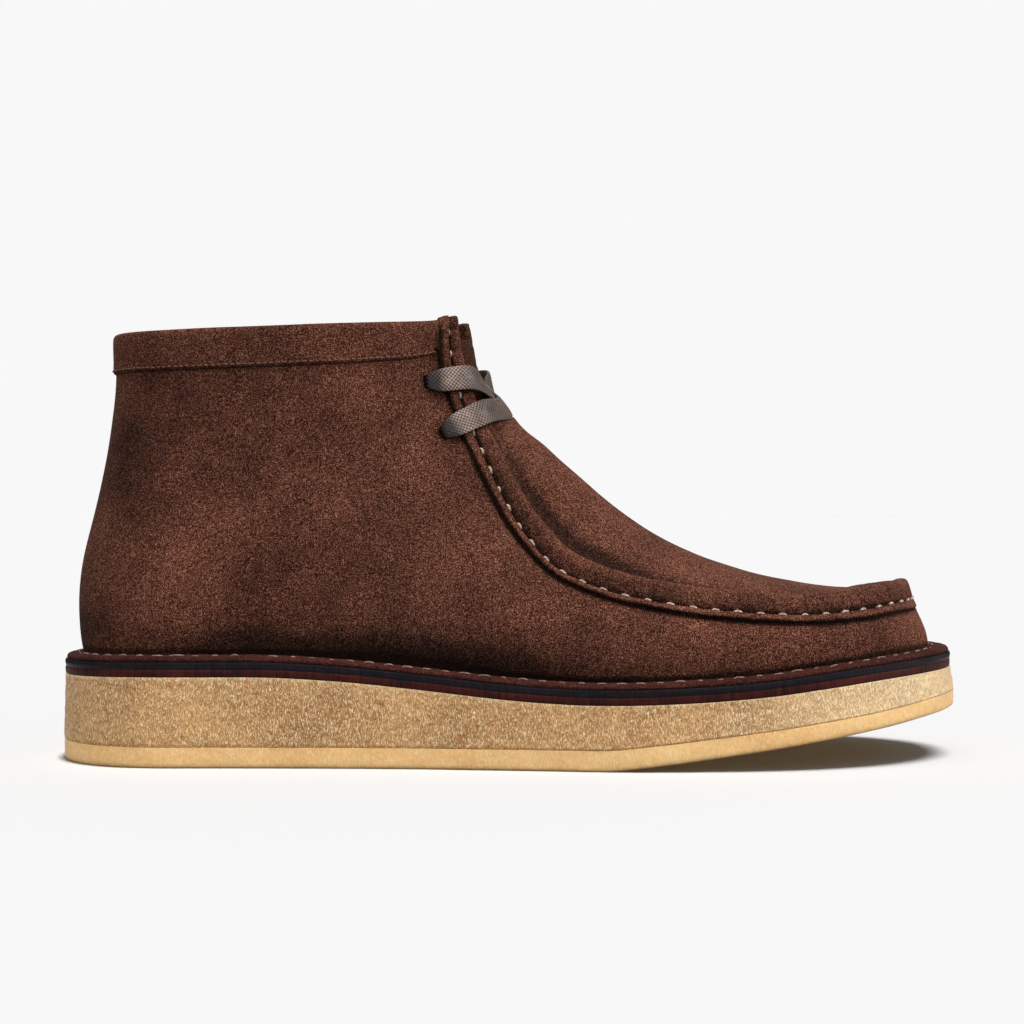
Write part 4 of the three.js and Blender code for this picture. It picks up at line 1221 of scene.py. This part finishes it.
def punch(piece, radius, point, normal):
    cutter_mesh = bpy.data.meshes.new("cutter")
    shape = bmesh.new()
    bmesh.ops.create_cone(shape, cap_ends=True, segments=40, radius1=radius * MM, radius2=radius * MM, depth=12 * MM)
    shape.to_mesh(cutter_mesh)
    shape.free()
    cutter = bpy.data.objects.new("cutter", cutter_mesh)
    scene.collection.objects.link(cutter)
    cutter.location = Vector(point * MM)
    cutter.rotation_euler = Vector(normal).to_track_quat("Z", "Y").to_euler()
    bpy.context.view_layer.update()
    cut = piece.modifiers.new("hole", "BOOLEAN")
    cut.operation, cut.object, cut.solver = "DIFFERENCE", cutter, "EXACT"
    bpy.context.view_layer.objects.active = piece
    with bpy.context.temp_override(object=piece, active_object=piece):
        bpy.ops.object.modifier_apply(modifier=cut.name)
    bpy.data.objects.remove(cutter)


eyelet_places = {name: wall_at(*spot) for name, spot in EYELETS.items()}
for point, normal in eyelet_places.values():
    punch(quarter, HOLE_RADIUS, point, normal)
    punch(lining, LINING_HOLE_RADIUS, point, normal)
for piece in (quarter, lining):
    piece.data.set_sharp_from_angle(angle=SHARP)
print("holes", {name: np.round(point, 1).tolist() for name, (point, _) in eyelet_places.items()})

# %% [markdown]
# ### The collar band
# The collar is bound with a strip of suede folded over the top edge: about 12 mm deep outside, a little less inside.
# Its section is drawn as a few points given by how far they lie below the top and how far they stand out, then swept
# round the opening. A line of tiny stitches holds its lower edge.

# %% Collar band
BAND_SECTION = np.array(
    [  # drop below the top of the wall, and distance out of it
        (13.0, -0.5), (13.0, 0.3), (12.6, 0.8), (11.6, 1.0), (9.0, 0.95), (6.0, 1.0), (3.0, 0.95), (1.2, 0.75),
        (0.2, 0.15), (-0.1, -0.7), (0.0, -1.6), (0.7, -2.5), (2.2, -2.95), (6.0, -3.0), (9.6, -2.95), (10.2, -2.5),
        (9.6, -2.1), (5.0, -2.1), (2.0, -1.9), (1.2, -1.1), (2.0, -0.5), (7.0, -0.5),
    ]
)
BAND_END = CORNER + 0.8


def rise_at_top(around):
    """The direction in which the wall runs up to its top edge."""
    tip = wall(around, np.array([1.0, 0.975]))
    return unit(tip[0] - tip[1])


def swept_on_wall(around, section):
    """Sweeps a section of drops and outs along the top of the wall."""
    length = rib_length(around)
    drops, outs = section[..., 0], section[..., 1]
    drops = np.broadcast_to(drops if drops.ndim == 2 else drops[:, None], (drops.shape[0], len(around)))
    outs = np.broadcast_to(outs if outs.ndim == 2 else outs[:, None], drops.shape)
    up = np.clip(1 - drops / length, 0, 1)
    points = wall(around, up) + wall_normal(around, np.minimum(up, 0.995)) * outs[..., None]
    points += np.maximum(-drops, 0)[..., None] * rise_at_top(around)
    return points


band_around, band_length = spaced(LOOP - BAND_END, LOOP + BAND_END, 460, top_point)
band_taper = np.clip((BAND_END - place(band_around)[0]) / (BAND_END - CORNER + 0.15), 0.02, 1)
band_section = smooth_loop(BAND_SECTION, 2)
band_drop = band_section[:, 0]
band_out = band_section[:, 1:] * np.where(band_section[:, 1:] < -1, 0.35 + 0.65 * band_taper**2, 1)
band_points = swept_on_wall(band_around, np.stack([band_drop[:, None] * band_taper, band_out], axis=-1))
band_ripple = 0.14 * noise_at(band_points, np.array([9.0, 9.0, 6.0]), 8.0) * smoothstep(band_drop, 0, 4)[:, None]
band_points += wall_normal(band_around, np.clip(1 - band_drop / 90, 0, 0.99)) * band_ripple[..., None]
band = make_piece("collar_band", *sweep(band_points.transpose(1, 0, 2)), SUEDE, "suede", "upper")
set_value(band, "brushed_and_painted_light", brushed_and_painted_light(band_points).T + 0.04)
print("collar", round(band_length), "mm round")

# %% [markdown]
# ### Stitches
# Every stitch on the boot is a short thread that comes out of one hole and goes into the next, so it is made as a
# little arch: its ends are sunk in the suede and its middle stands up. One function places a whole row, given the
# start, the end and the outward direction of each. Small seeded differences in length and tilt keep a row looking
# handmade. An array modifier along a curve would make every stitch the same.

# %% A row of stitches
STITCH_STATIONS = 9
STITCH_SIDES = 8


def stitch_row(name, start, end, out, width, rise, material, slot, node, seed, sink=0.45, flat=0.75):
    draw = np.random.default_rng(seed)
    count = len(start)
    along = end - start
    centre = (start + end) / 2 + draw.normal(0, 0.05, (count, 3))
    across = unit(np.cross(out, along))
    along = along * (1 + draw.normal(0, 0.06, (count, 1))) + across * draw.normal(0, 0.09, (count, 1))
    out = unit(np.cross(along, across))
    t = np.linspace(0, 1, STITCH_STATIONS)
    arch = np.sin(np.pi * np.clip(t, 0.001, 0.999)) ** 0.55
    angle = np.linspace(0, 2 * np.pi, STITCH_SIDES, endpoint=False)
    plump = 1 + draw.normal(0, 0.07, count)
    spine = centre[:, None] + along[:, None] * (t[None, :, None] - 0.5)
    spine += out[:, None] * (-sink + (sink + rise) * arch)[None, :, None]
    half = width / 2 * (0.72 + 0.28 * arch)[None, :, None, None] * plump[:, None, None, None]
    ring = across[:, None, None] * np.cos(angle)[:, None] + out[:, None, None] * flat * np.sin(angle)[:, None]
    points = spine[:, :, None] + ring * half
    each = STITCH_STATIONS * STITCH_SIDES
    faces = []
    for i in range(count):
        faces += quads(STITCH_STATIONS, STITCH_SIDES, wrap_columns=True, first=i * each)
        faces.append([i * each + j for j in range(STITCH_SIDES)])
        faces.append([(i + 1) * each - 1 - j for j in range(STITCH_SIDES)])
    piece = make_piece(name, points, faces, material, slot, node)
    ply = 0.55 + 0.45 * np.cos(2 * (angle[None, :] + 5.5 * t[:, None]))
    set_value(piece, "strand", np.tile(ply.ravel(), count))
    print(name, count, "stitches of", round(float(np.linalg.norm(along, axis=1).mean()), 1), "mm")
    return piece


# %% [markdown]
# ### Stitches round the collar
# The band's lower edge is held by a row of tiny stitches, each about two thirds of the pitch long. They are spaced by
# length round the collar, because the ribs alone would crowd them at the heel.

# %% Stitches round the collar
BAND_STITCH_PITCH = 2.1
BAND_STITCH = 0.68  # length as a share of the pitch
BAND_STITCH_DROP = 12.0
stitched = CORNER - 0.05
_, stitched_length = spaced(LOOP - stitched, LOOP + stitched, 500, top_point)
stitch_around, _ = spaced(LOOP - stitched, LOOP + stitched, int(stitched_length / BAND_STITCH_PITCH), top_point)
stitch_at = swept_on_wall(stitch_around, np.array([[BAND_STITCH_DROP, 1.0]]))[0]
stitch_out = wall_normal(stitch_around, 1 - BAND_STITCH_DROP / rib_length(stitch_around)[None, :])[0]
stitch_along = unit(np.gradient(stitch_at, axis=0)) * BAND_STITCH * BAND_STITCH_PITCH / 2
stitch_row(
    "collar_stitches", stitch_at - stitch_along, stitch_at + stitch_along, stitch_out,
    width=0.5, rise=0.1, material=FINE_THREAD, slot="suede", node="upper", seed=11, sink=0.2,
)

# %% [markdown]
# ### Stitches through the welt
# The upper is sewn down to the welt with a long stitch and a longer gap. Their length, tilt and height are drawn from
# wider ranges than on the collar, because a thick thread through soft suede never lies as evenly as a fine one.

# %% Stitches round the welt
WELT_STITCH_PITCH = 6.2
WELT_STITCH = 3.6
WELT_LINE = {k: FEATHER[k] - 1.5 for k in FEATHER}
WELT_STITCH_LEVEL = RUNNER_TOP + GAPS + 2.05
welt_curve = ring_at(WELT_LINE, above_deck(WELT_STITCH_LEVEL), even_turns(2000))
welt_reach = np.concatenate([[0], np.cumsum(np.linalg.norm(np.diff(welt_curve, axis=0), axis=1))])
welt_count = int(welt_reach[-1] / WELT_STITCH_PITCH)
welt_middles = (np.arange(welt_count) + 0.5) * welt_reach[-1] / welt_count


def welt_line(at):
    return np.stack([np.interp(at, welt_reach, welt_curve[:, k]) for k in range(3)], axis=1)


welt_draw = np.random.default_rng(5)
half_stitch = WELT_STITCH / 2 * (1 + welt_draw.normal(0, 0.28, welt_count))
welt_starts, welt_ends = welt_line(welt_middles - half_stitch), welt_line(welt_middles + half_stitch)
for ends in (welt_starts, welt_ends):
    ends[:, 2] += np.minimum(welt_draw.normal(-0.1, 0.16, welt_count), 0.1)
slant = unit(np.cross(welt_ends - welt_starts, [0, 0, 1])) * welt_draw.normal(0, 0.25, (welt_count, 1))
stitch_row(
    "welt_stitches", welt_starts - slant, welt_ends + slant, np.tile([0.0, 0.0, 1.0], (welt_count, 1)),
    width=0.6, rise=0.1, material=WELT_THREAD, slot="welt_suede", node="welt", seed=12,
)

# %% [markdown]
# ### The turned lip
# The quarter's edge turned outwards shows as a flat strip below the seam, cut by hand, so its lower edge wanders a
# little. It ends on the collar band, where it stands up over the facing. It is swept on the wall like the band, but as
# a sheet, because its edge is thin. The attribute paints shade on it in the groove and at its cut edge, and a little
# painted light across its middle.

# %% The turned lip of the quarter
runout = np.linspace(CORNER - LIP_RUNOUT, CORNER, 12)[:-1]
lip_around = np.concatenate([runout, seam_around, LOOP - runout[::-1]])
lip_rib, _ = place(lip_around)
cut_edge = lip_drop(lip_around)
ragged = noise_at(top_point(lip_around), 1.3, 3.0) * 0.16 + noise_at(top_point(lip_around), 5.0, 1.0) * 0.2
lip_part = np.array([0.12, 0.0, 0.0, 0.08, 0.2, 0.36, 0.54, 0.7, 0.82, 0.9, 0.96, 1.0, 1.1])
lip_rise = np.array([0.0, 0.3, 0.72, 0.95, 1.04, 1.06, 1.04, 0.98, 0.88, 0.7, 0.4, 0.05, -0.3])
over_band = 1 + 0.75 * (1 - smoothstep(lip_rib, CORNER + 0.2, CORNER + 1.1))
stand_up = FACING_RISE * (1 - smoothstep(lip_rib, CORNER - 0.2, CORNER + 0.6))
groove = seam_value["groove"](lip_rib) * smoothstep(lip_rib, CORNER - 0.02, CORNER + 0.3)
drops = (1 - lip_part)[:, None] * (cut_edge + ragged) + lip_part[:, None] * (groove - stand_up)
lip_lift = LIP_LIFT + (TOE_LIP_LIFT - LIP_LIFT) * smoothstep(lip_rib, 17.5, 20.5)
lip_lift = lip_lift * (0.12 + 0.88 * smoothstep(lip_rib, CORNER - LIP_RUNOUT, CORNER - 0.15))
outs = lip_lift * lip_rise[:, None] * over_band * (1 + 0.12 * noise_at(top_point(lip_around), 3.5, 5.0))
lip_front = swept_on_wall(lip_around, np.stack([drops, outs], axis=-1))
lip_back = swept_on_wall(lip_around, np.stack([drops, outs * 0 - 0.6], axis=-1))
lip = make_piece("turned_lip", *shell(lip_front, lip_back), SUEDE, "suede", "upper")
lip_shade = np.interp(lip_part, [0, 0.1, 0.35, 0.7, 0.95, 1.1], [-0.9, -0.25, 0.15, 0.05, -0.7, -1.4])[:, None]
lip_shade = np.where(lip_part[:, None] < 0.5, lip_shade, lip_shade * smoothstep(lip_rib, CORNER, CORNER + 0.25))
set_value(lip, "brushed_and_painted_light", np.tile((brushed_and_painted_light(lip_front) + lip_shade).ravel(), 2))

# %% [markdown]
# ### The rolled edge
# The apron's edge is rolled over a cord of its own folded suede, which gives the full round ridge of this kind of boot.
# Its near side stands on the wall, its far side runs down into the apron, and each stitch pulls it in. A bevelled curve
# has one round section all along, and this one changes from the narrow facing to the wide toe.

# %% The rolled edge of the apron
ROLL_NEAR = np.array([(1.0, 0.2, -0.9), (1.0, 0.1, 0.5), (0.75, 0.0, 1.6), (0.2, 0.0, 2.5)])
ROLL_OVER = np.array(
    [  # across in parts of the roll's width, plus a distance; out in parts of its height, plus a distance
        (0.16, 0, 0.86, 0.2), (0.42, 0, 1, 0), (0.7, 0, 0.74, 0), (0.98, 0, 0.22, 0),
        (1, 1.1, 0, -0.9), (0.9, 0, 0, -2.2), (0, 0.6, 0, -2.2),
    ]
)
PUCKER = 0.12  # share of the roll's size that each stitch pulls in
FAR_TOE_DROP = 0.7  # the roll is flatter on the inner side of the toe
FAR_FACING_DROP = 1.0


def roll_rings(around, size=1.0, pulled=0.0):
    """The roll's section in space. Its near side follows the wall from the groove up, the rest the seam's frame."""
    rib, side = place(around)
    wide, high = seam_value["rollWide"](rib)[:, None], seam_value["rollHigh"](rib)
    high = high * (1 - FAR_TOE_DROP * (side > 0) * np.exp(-(((rib - 18.2) / 2.1) ** 2)))
    high = (high - FAR_FACING_DROP * (side > 0) * (1 - smoothstep(rib, 8.5, 10)))[:, None]
    top, _, to_middle, outward = (part[:, None] for part in seam_frame(around))
    rise = rise_at_top(around)[:, None]
    normal = wall_normal(around, np.array([0.995]))[0][:, None]
    near = ROLL_NEAR[:, 0] * seam_value["groove"](rib)[:, None] + ROLL_NEAR[:, 1]
    bulge = ROLL_NEAR[:, 2] * np.minimum(1, high / 4.2) * (1 - 2.4 * pulled)
    bulge = bulge * (1 - 0.75 * smoothstep(rib, 17.5, 20.5))[:, None]
    near = top - rise * near[..., None] + normal * bulge[..., None]
    across = ROLL_OVER[:, 0] * wide + ROLL_OVER[:, 1]
    over = ROLL_OVER[:, 2] * high + ROLL_OVER[:, 3]
    over = over * (1 - pulled * np.exp(-((across / 3.4) ** 2)) * (over > 0))
    over = top + to_middle * across[..., None] + outward * over[..., None]
    section = smooth_loop(np.concatenate([near, over], axis=1), 4)
    middle = section.mean(axis=1, keepdims=True)
    return middle + (section - middle) * size


print("roll section", roll_rings(np.array([14.0])).shape[1], "points")

# %% [markdown]
# ### The roll along the seam
# The section is swept from one facing round the toe to the other, in steps of about half a millimetre. The puckers come
# from one wave with the stitch's pitch, and the ends are closed with a few smaller rings, so no flat cut shows there.

# %% Sweep the roll and round its ends
roll_around, _ = spaced(CORNER, LOOP - CORNER, 860, seam_line)
roll_length = np.linspace(0, seam_length, len(roll_around))
stitch_phase = np.mod(roll_length / SEAM_PITCH, 1)
pull = np.exp(-(((stitch_phase - 0.5) / 0.13) ** 2)) - 0.25
roll_points = roll_rings(roll_around, pulled=PUCKER * 2 * pull[:, None])
roll_count = len(ROLL_NEAR) + len(ROLL_OVER)
on_roll = np.arange(4 * roll_count) / 4
roll_out = seam_frame(roll_around)[3][:, None]
open_side = (on_roll > 1) & (on_roll < 7)
roll_points += roll_out * (0.22 * noise_at(roll_points, np.array([6.0, 6.0, 6.0]), 2.0) * open_side)[..., None]
# Painted shade in the groove and where the roll meets the apron, and a little painted light on its crest.
SHADE_AT = [0, 1, 2, 3.5, 5, 6, 7, 10, 10.6]  # from the groove, over the top and down to the apron
roll_shade = np.interp(on_roll, SHADE_AT, [-1.6, -0.9, -0.45, -0.2, 0.1, -0.1, -0.1, -0.1, -0.8])
ROLL_CAP = [(0.35, 1.0), (0.75, 0.93), (1.0, 0.75), (1.08, 0.4)]  # how far beyond the end, and size


def roll_cap(at, sign):
    """A rounded end for the roll, from a few smaller rings."""
    at = np.array([float(at)])
    along = seam_frame(at)[1]
    return np.array([roll_rings(at, size)[0] + sign * along * beyond * FACING_RISE * 1.3 for beyond, size in ROLL_CAP])


roll_points = np.concatenate([roll_cap(CORNER, -1)[::-1], roll_points, roll_cap(LOOP - CORNER, 1)])
roll = make_piece("rolled_edge", *sweep(roll_points), SUEDE, "suede", "upper")
set_value(roll, "brushed_and_painted_light", brushed_and_painted_light(roll_points) + roll_shade)

# %% [markdown]
# ### The apron
# The apron is the piece of suede over the top of the foot. It hangs between its own rolled edges, so its surface is
# stretched from one leg of the seam to the other and lifted in the middle to the height of the instep. Near the roll it
# is gathered by the stitches, which shows as very soft pleats at the same pitch.

# %% Apron sheet
TRAY_SINK = 0.2
CROWN_POWER = 2.2
FADE_POWER = 16


def tray_edge(around):
    rib, _ = place(around)
    wide, high = seam_value["rollWide"](rib), seam_value["rollHigh"](rib)
    return seam_points(around, wide[:, None], TRAY_SINK * high[:, None])[:, 0]


def apron_grid(rows, t):
    """The apron's surface, shape (rows, t, 3). rows are rib numbers; t runs from the outer leg to the inner."""
    outer, inner = tray_edge(rows)[:, None], tray_edge(LOOP - rows)[:, None]
    at = np.broadcast_to(t, (len(rows), np.shape(t)[-1]))
    s = np.maximum(0, (rows - THROAT) / (TOE_CORNER - THROAT))[:, None, None]

    def base(part):
        """Straight from leg to leg, and bowed round the toe towards the front."""
        corner = tray_edge(np.array([TOE_CORNER, LOOP - TOE_CORNER], float))
        flat_part = np.clip(part, 0, 1).ravel()
        straight = corner[0] + (corner[1] - corner[0]) * flat_part[:, None]
        bow = (tray_edge(TOE_CORNER + flat_part * (LOOP - 2 * TOE_CORNER)) - straight).reshape(*part.shape, 3)
        bow *= ((part >= 0) & (part <= 1))[..., None]
        return outer + (inner - outer) * part[..., None] + bow * s**3

    x = seam_value["midX"](np.minimum(rows, TOE_CORNER))
    lift = np.stack([x, middle_y(x), crown(x)], axis=-1)[:, None] - base(np.full((len(rows), 1), 0.5))
    weight = (1 - np.abs(2 * at - 1) ** CROWN_POWER)[..., None] * (1 - s**FADE_POWER)
    return base(at) + lift * weight


def apron_normals(grid):
    return unit(np.cross(np.gradient(grid, axis=0), np.gradient(grid, axis=1)))


APRON_TOP = THROAT - 0.22
apron_rows = np.concatenate([np.linspace(APRON_TOP, 16, 92), np.linspace(16, TOE_CORNER, 44)[1:]])
apron_t = (1 - np.cos(np.linspace(0, np.pi, 96))) / 2
apron_surface = apron_grid(apron_rows, apron_t)
apron_out = apron_normals(apron_surface)
leg = np.concatenate([[0], np.cumsum(np.linalg.norm(np.diff(apron_surface[:, 0], axis=0), axis=1))])[:, None]
from_edge = np.minimum(apron_t, 1 - apron_t) * 60
pleats = 0.3 * np.cos(2 * np.pi * leg / SEAM_PITCH) * np.exp(-from_edge / 5.0) * smoothstep(from_edge, 0.5, 3)
valley = np.exp(-(((from_edge - 2.0) / 2.4) ** 2)) * smoothstep(apron_rows, 9.5, 12)[:, None]
apron_soft = pleats + 0.3 * noise_at(apron_surface, 16.0, 5.0) * smoothstep(from_edge, 1, 8) - 0.9 * valley
apron_face = apron_surface + apron_out * apron_soft[..., None]
apron_sheet = shell(apron_face, apron_surface - apron_out * (LEATHER - 0.2))
apron = make_piece("apron", *apron_sheet, SUEDE, "suede", "upper")
# Painted shade: the valley beside the roll is darkened as well as sunk.
set_value(apron, "brushed_and_painted_light", np.tile((brushed_and_painted_light(apron_face) + 0.05 - 0.7 * valley).ravel(), 2))

# %% [markdown]
# ### Stitches along the seam
# One thick pale thread runs round the whole apron in the groove between lip and roll. Its stitches have the pitch of
# the puckers, so each sits where the roll is pulled in. Placed along the wall, they stay in the groove round the toe.

# %% Stitches along the seam
SEAM_STITCH = 2.9
stitch_count = int(seam_length / SEAM_PITCH)
stitch_middle = (np.arange(stitch_count) + 0.5) * SEAM_PITCH


def in_groove(at):
    around = np.interp(at, roll_length, roll_around)
    groove = seam_value["groove"](place(around)[0]) + 0.15
    out = 1.0 - 0.6 * smoothstep(place(around)[0], 17.5, 20.5)
    return swept_on_wall(around, np.stack([groove, out], axis=-1)[None])[0]


stitch_seam = np.interp(stitch_middle, roll_length, roll_around)
stitch_row(
    "seam_stitches",
    in_groove(stitch_middle - SEAM_STITCH / 2),
    in_groove(stitch_middle + SEAM_STITCH / 2),
    wall_normal(stitch_seam, np.array([0.98]))[0],
    width=0.85, rise=0.35, material=SEAM_THREAD, slot="suede", node="upper", seed=13, sink=0.5,
)

# %% [markdown]
# ### Tongue
# The tongue is sewn in under the apron's top and reaches up behind the laces to the collar. It is a curved sheet with a
# rounded top corner on each side. Only a sliver of it shows from the side, and most of it from above.

# %% Tongue
TONGUE = 1.8
TONGUE_TOP, TONGUE_FOOT = CORNER + 0.35, 11.4  # ribs
tongue_rows = np.linspace(TONGUE_TOP, TONGUE_FOOT, 70)
round_off = 0.1 * (1 - smoothstep(tongue_rows, TONGUE_TOP, CORNER + 0.8)) ** 2
edge_in = seam_value["tongueEdge"](tongue_rows) + round_off
tongue_part = np.linspace(0, 1, 48)
tongue_t = edge_in[:, None] + (1 - 2 * edge_in[:, None]) * tongue_part
tongue_surface = apron_grid(tongue_rows, tongue_t)
tongue_out = apron_normals(tongue_surface)
depth = seam_value["recess"](tongue_rows)[:, None]
rounded = 0.5 * (1 - np.abs(2 * tongue_part - 1) ** 6)
tongue_soft = 0.15 * noise_at(tongue_surface, 9.0, 6.0)
tongue_front = tongue_surface - tongue_out * (depth + 0.5 - rounded + tongue_soft)[..., None]
tongue_back = tongue_surface - tongue_out * (depth + TONGUE - 0.5 + rounded)[..., None]
make_piece("tongue_sheet", *shell(tongue_front, tongue_back), SHADED_TONGUE_SUEDE, "tongue_suede", "tongue")

# %% [markdown]
# ### Lace
# The lace is a flat waxed braid about 8 mm wide. Each run comes out of one eyelet, lies over both rolled edges and goes
# into the eyelet across. Its path is a smooth curve through a few knots, and the braid is real relief on a fine grid:
# two sets of strands cross at a slant and pass over and under by turns.

# %% Path and braid of the lace
LACE_WIDTH = 8.4
LACE_THICK = 1.6
BRAID_CELL = 1.3
BRAID_DEPTH = 0.34
LACE_STEP = 0.2
MIDDLE_OUT = np.array([0.78, 0, 0.62])
OUT_OF_HOLE = [(-0.4, -1.1, 3.8, 6), (0, 1.2, 4.8, 1.6), (3.4, 2.9, 7.6, 0.3)]  # ahead, up, width, lean
LACE_RUNS = {  # from, to, ribs where it lies on the rolls, points between the rolls
    "lace_over": ("lower_outer", "upper_inner", 9.15, 8.3, [(-1.7, -0.5, 117.2), (-6.4, 7.0, 122.4)]),
    "lace_under": ("upper_outer", "lower_inner", 8.35, 8.95, [(-6.8, -4.5, 121.4), (-3.4, 1.0, 116.2)]),
}


def through_knots(knots, each):
    """A centripetal curve through knots (n, 3), each span cut into equal steps."""
    ends = np.vstack([2 * knots[0] - knots[1], knots, 2 * knots[-1] - knots[-2]])
    points = []
    for i in range(len(knots) - 1):
        a, b, c, d = ends[i : i + 4]
        ab, bc, cd = (math.sqrt(np.linalg.norm(q - p)) for p, q in ((a, b), (b, c), (c, d)))
        leave = ((b - a) / ab - (c - a) / (ab + bc) + (c - b) / bc) * bc
        arrive = ((c - b) / bc - (d - b) / (bc + cd) + (d - c) / cd) * bc
        t = np.linspace(0, 1, each, endpoint=i == len(knots) - 2)[:, None]
        points.append(
            b + leave * t + (3 * (c - b) - 2 * leave - arrive) * t**2 + (2 * (b - c) + leave + arrive) * t**3
        )
    return np.vstack(points)


def lace_knots(start, finish, start_rib, finish_rib, between):
    def over_roll(name, rib):
        around = np.array([rib if EYELETS[name][2] < 0 else LOOP - rib])
        across = 0.45 * seam_value["rollWide"](rib)
        lift = seam_value["rollHigh"](rib) + LACE_THICK / 2 + GAP + 0.6
        return seam_points(around, np.array([[across]]), np.array([[lift]]))[0, 0], seam_frame(around)[3][0]

    def out_of_hole(name, towards):
        point, normal = eyelet_places[name]
        along = towards - point
        along = unit(along - normal * np.dot(along, normal))
        return [
            (point + along * ahead + normal * up, unit(normal - along * lean), width)
            for ahead, up, width, lean in OUT_OF_HOLE
        ]

    first, second = over_roll(start, start_rib), over_roll(finish, finish_rib)
    return [
        *out_of_hole(start, first[0]),
        (*first, LACE_WIDTH),
        *[(np.array(point, float), MIDDLE_OUT, LACE_WIDTH) for point in between],
        (*second, LACE_WIDTH),
        *out_of_hole(finish, second[0])[::-1],
    ]


print("lace runs", {name: len(lace_knots(*run)) for name, run in LACE_RUNS.items()}, "knots")

# %% [markdown]
# ### The braid
# In a flat braid each strand goes over one of the others and under the next. Two sets of stripes at a slant, taken in
# turn like the squares of a board, give that with one formula. Modelling every strand as a tube would take many times
# the faces, and the strands would still meet in a flat sheet.

# %% Height of the braid
def braid(along, across):
    """Height, from 0 to 1, of two sets of slanted strands that pass over and under each other."""
    a, b = (along + across) / BRAID_CELL, (along - across) / BRAID_CELL
    over = np.mod(np.floor(a) + np.floor(b), 2) < 1
    strand = np.where(over, np.mod(a, 1), np.mod(b, 1))
    other = np.where(over, np.mod(b, 1), np.mod(a, 1))
    return np.sin(np.pi * strand) ** 0.7 * (0.55 + 0.45 * np.sin(np.pi * other) ** 0.5)


print("braid is highest at", round(float(braid(BRAID_CELL / 2, 0.0)), 2), "and lowest at", float(braid(0.0, 0.0)))

# %% [markdown]
# ### The two runs of lace
# Each run is swept with a flat section along its curve and held to an even width. Its strands carry a painted highlight
# where it lifts off the suede and painted shade where it goes into the hole, so the "strand" attribute is scaled along
# the run.

# %% Lace strips
LACE_AROUND = 92
# Painted light along each run: painted shade at the hole, a painted highlight about 10 mm out, then less.
LACE_PAINTED_LIGHT = [1.5, 5.5, 9.0, 12.5, 17.0], [0.02, 0.12, 1.0, 0.8, 0.36]  # mm from the hole, and how pale
for name, run in LACE_RUNS.items():
    knots = lace_knots(*run)
    path = through_knots(np.array([k[0] for k in knots]), 60)
    knot_at = np.linspace(0, len(knots) - 1, len(path))
    out = np.stack([np.interp(knot_at, np.arange(len(knots)), [k[1][c] for k in knots]) for c in range(3)], axis=1)
    width = np.interp(knot_at, np.arange(len(knots)), [k[2] for k in knots])
    reach = np.concatenate([[0], np.cumsum(np.linalg.norm(np.diff(path, axis=0), axis=1))])
    even = np.linspace(0, reach[-1], int(reach[-1] / LACE_STEP))
    path, out = (np.stack([np.interp(even, reach, v[:, c]) for c in range(3)], axis=1) for v in (path, out))
    width = np.interp(even, reach, width)
    width = np.convolve(np.pad(width, 8, "edge"), np.ones(17) / 17, "valid")
    along = unit(np.gradient(path, axis=0))
    across = unit(np.cross(out, along))
    face = np.cross(along, across)
    turn = np.linspace(0, 2 * np.pi, LACE_AROUND, endpoint=False)
    side = np.sign(np.cos(turn)) * np.abs(np.cos(turn)) ** 0.8
    lift = np.sign(np.sin(turn)) * np.abs(np.sin(turn)) ** 0.55
    half = (width / 2)[:, None]
    pattern = braid(even[:, None] + 0 * half, side * half)
    raised = LACE_THICK / 2 - BRAID_DEPTH + BRAID_DEPTH * pattern
    points = path[:, None] + across[:, None] * (side * half)[..., None] + face[:, None] * (lift * raised)[..., None]
    strip = make_piece(name, *sweep(points), LACE_BRAID, "lace", "lace")
    from_hole = np.minimum(even, even[-1] - even)[:, None]
    set_value(strip, "strand", pattern**2.2 * np.interp(from_hole, *LACE_PAINTED_LIGHT))
    print(name, round(float(reach[-1])), "mm long")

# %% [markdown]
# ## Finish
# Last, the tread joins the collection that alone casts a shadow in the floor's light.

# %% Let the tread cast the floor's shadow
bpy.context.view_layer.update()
sole_only.objects.link(bpy.data.objects["tread"])
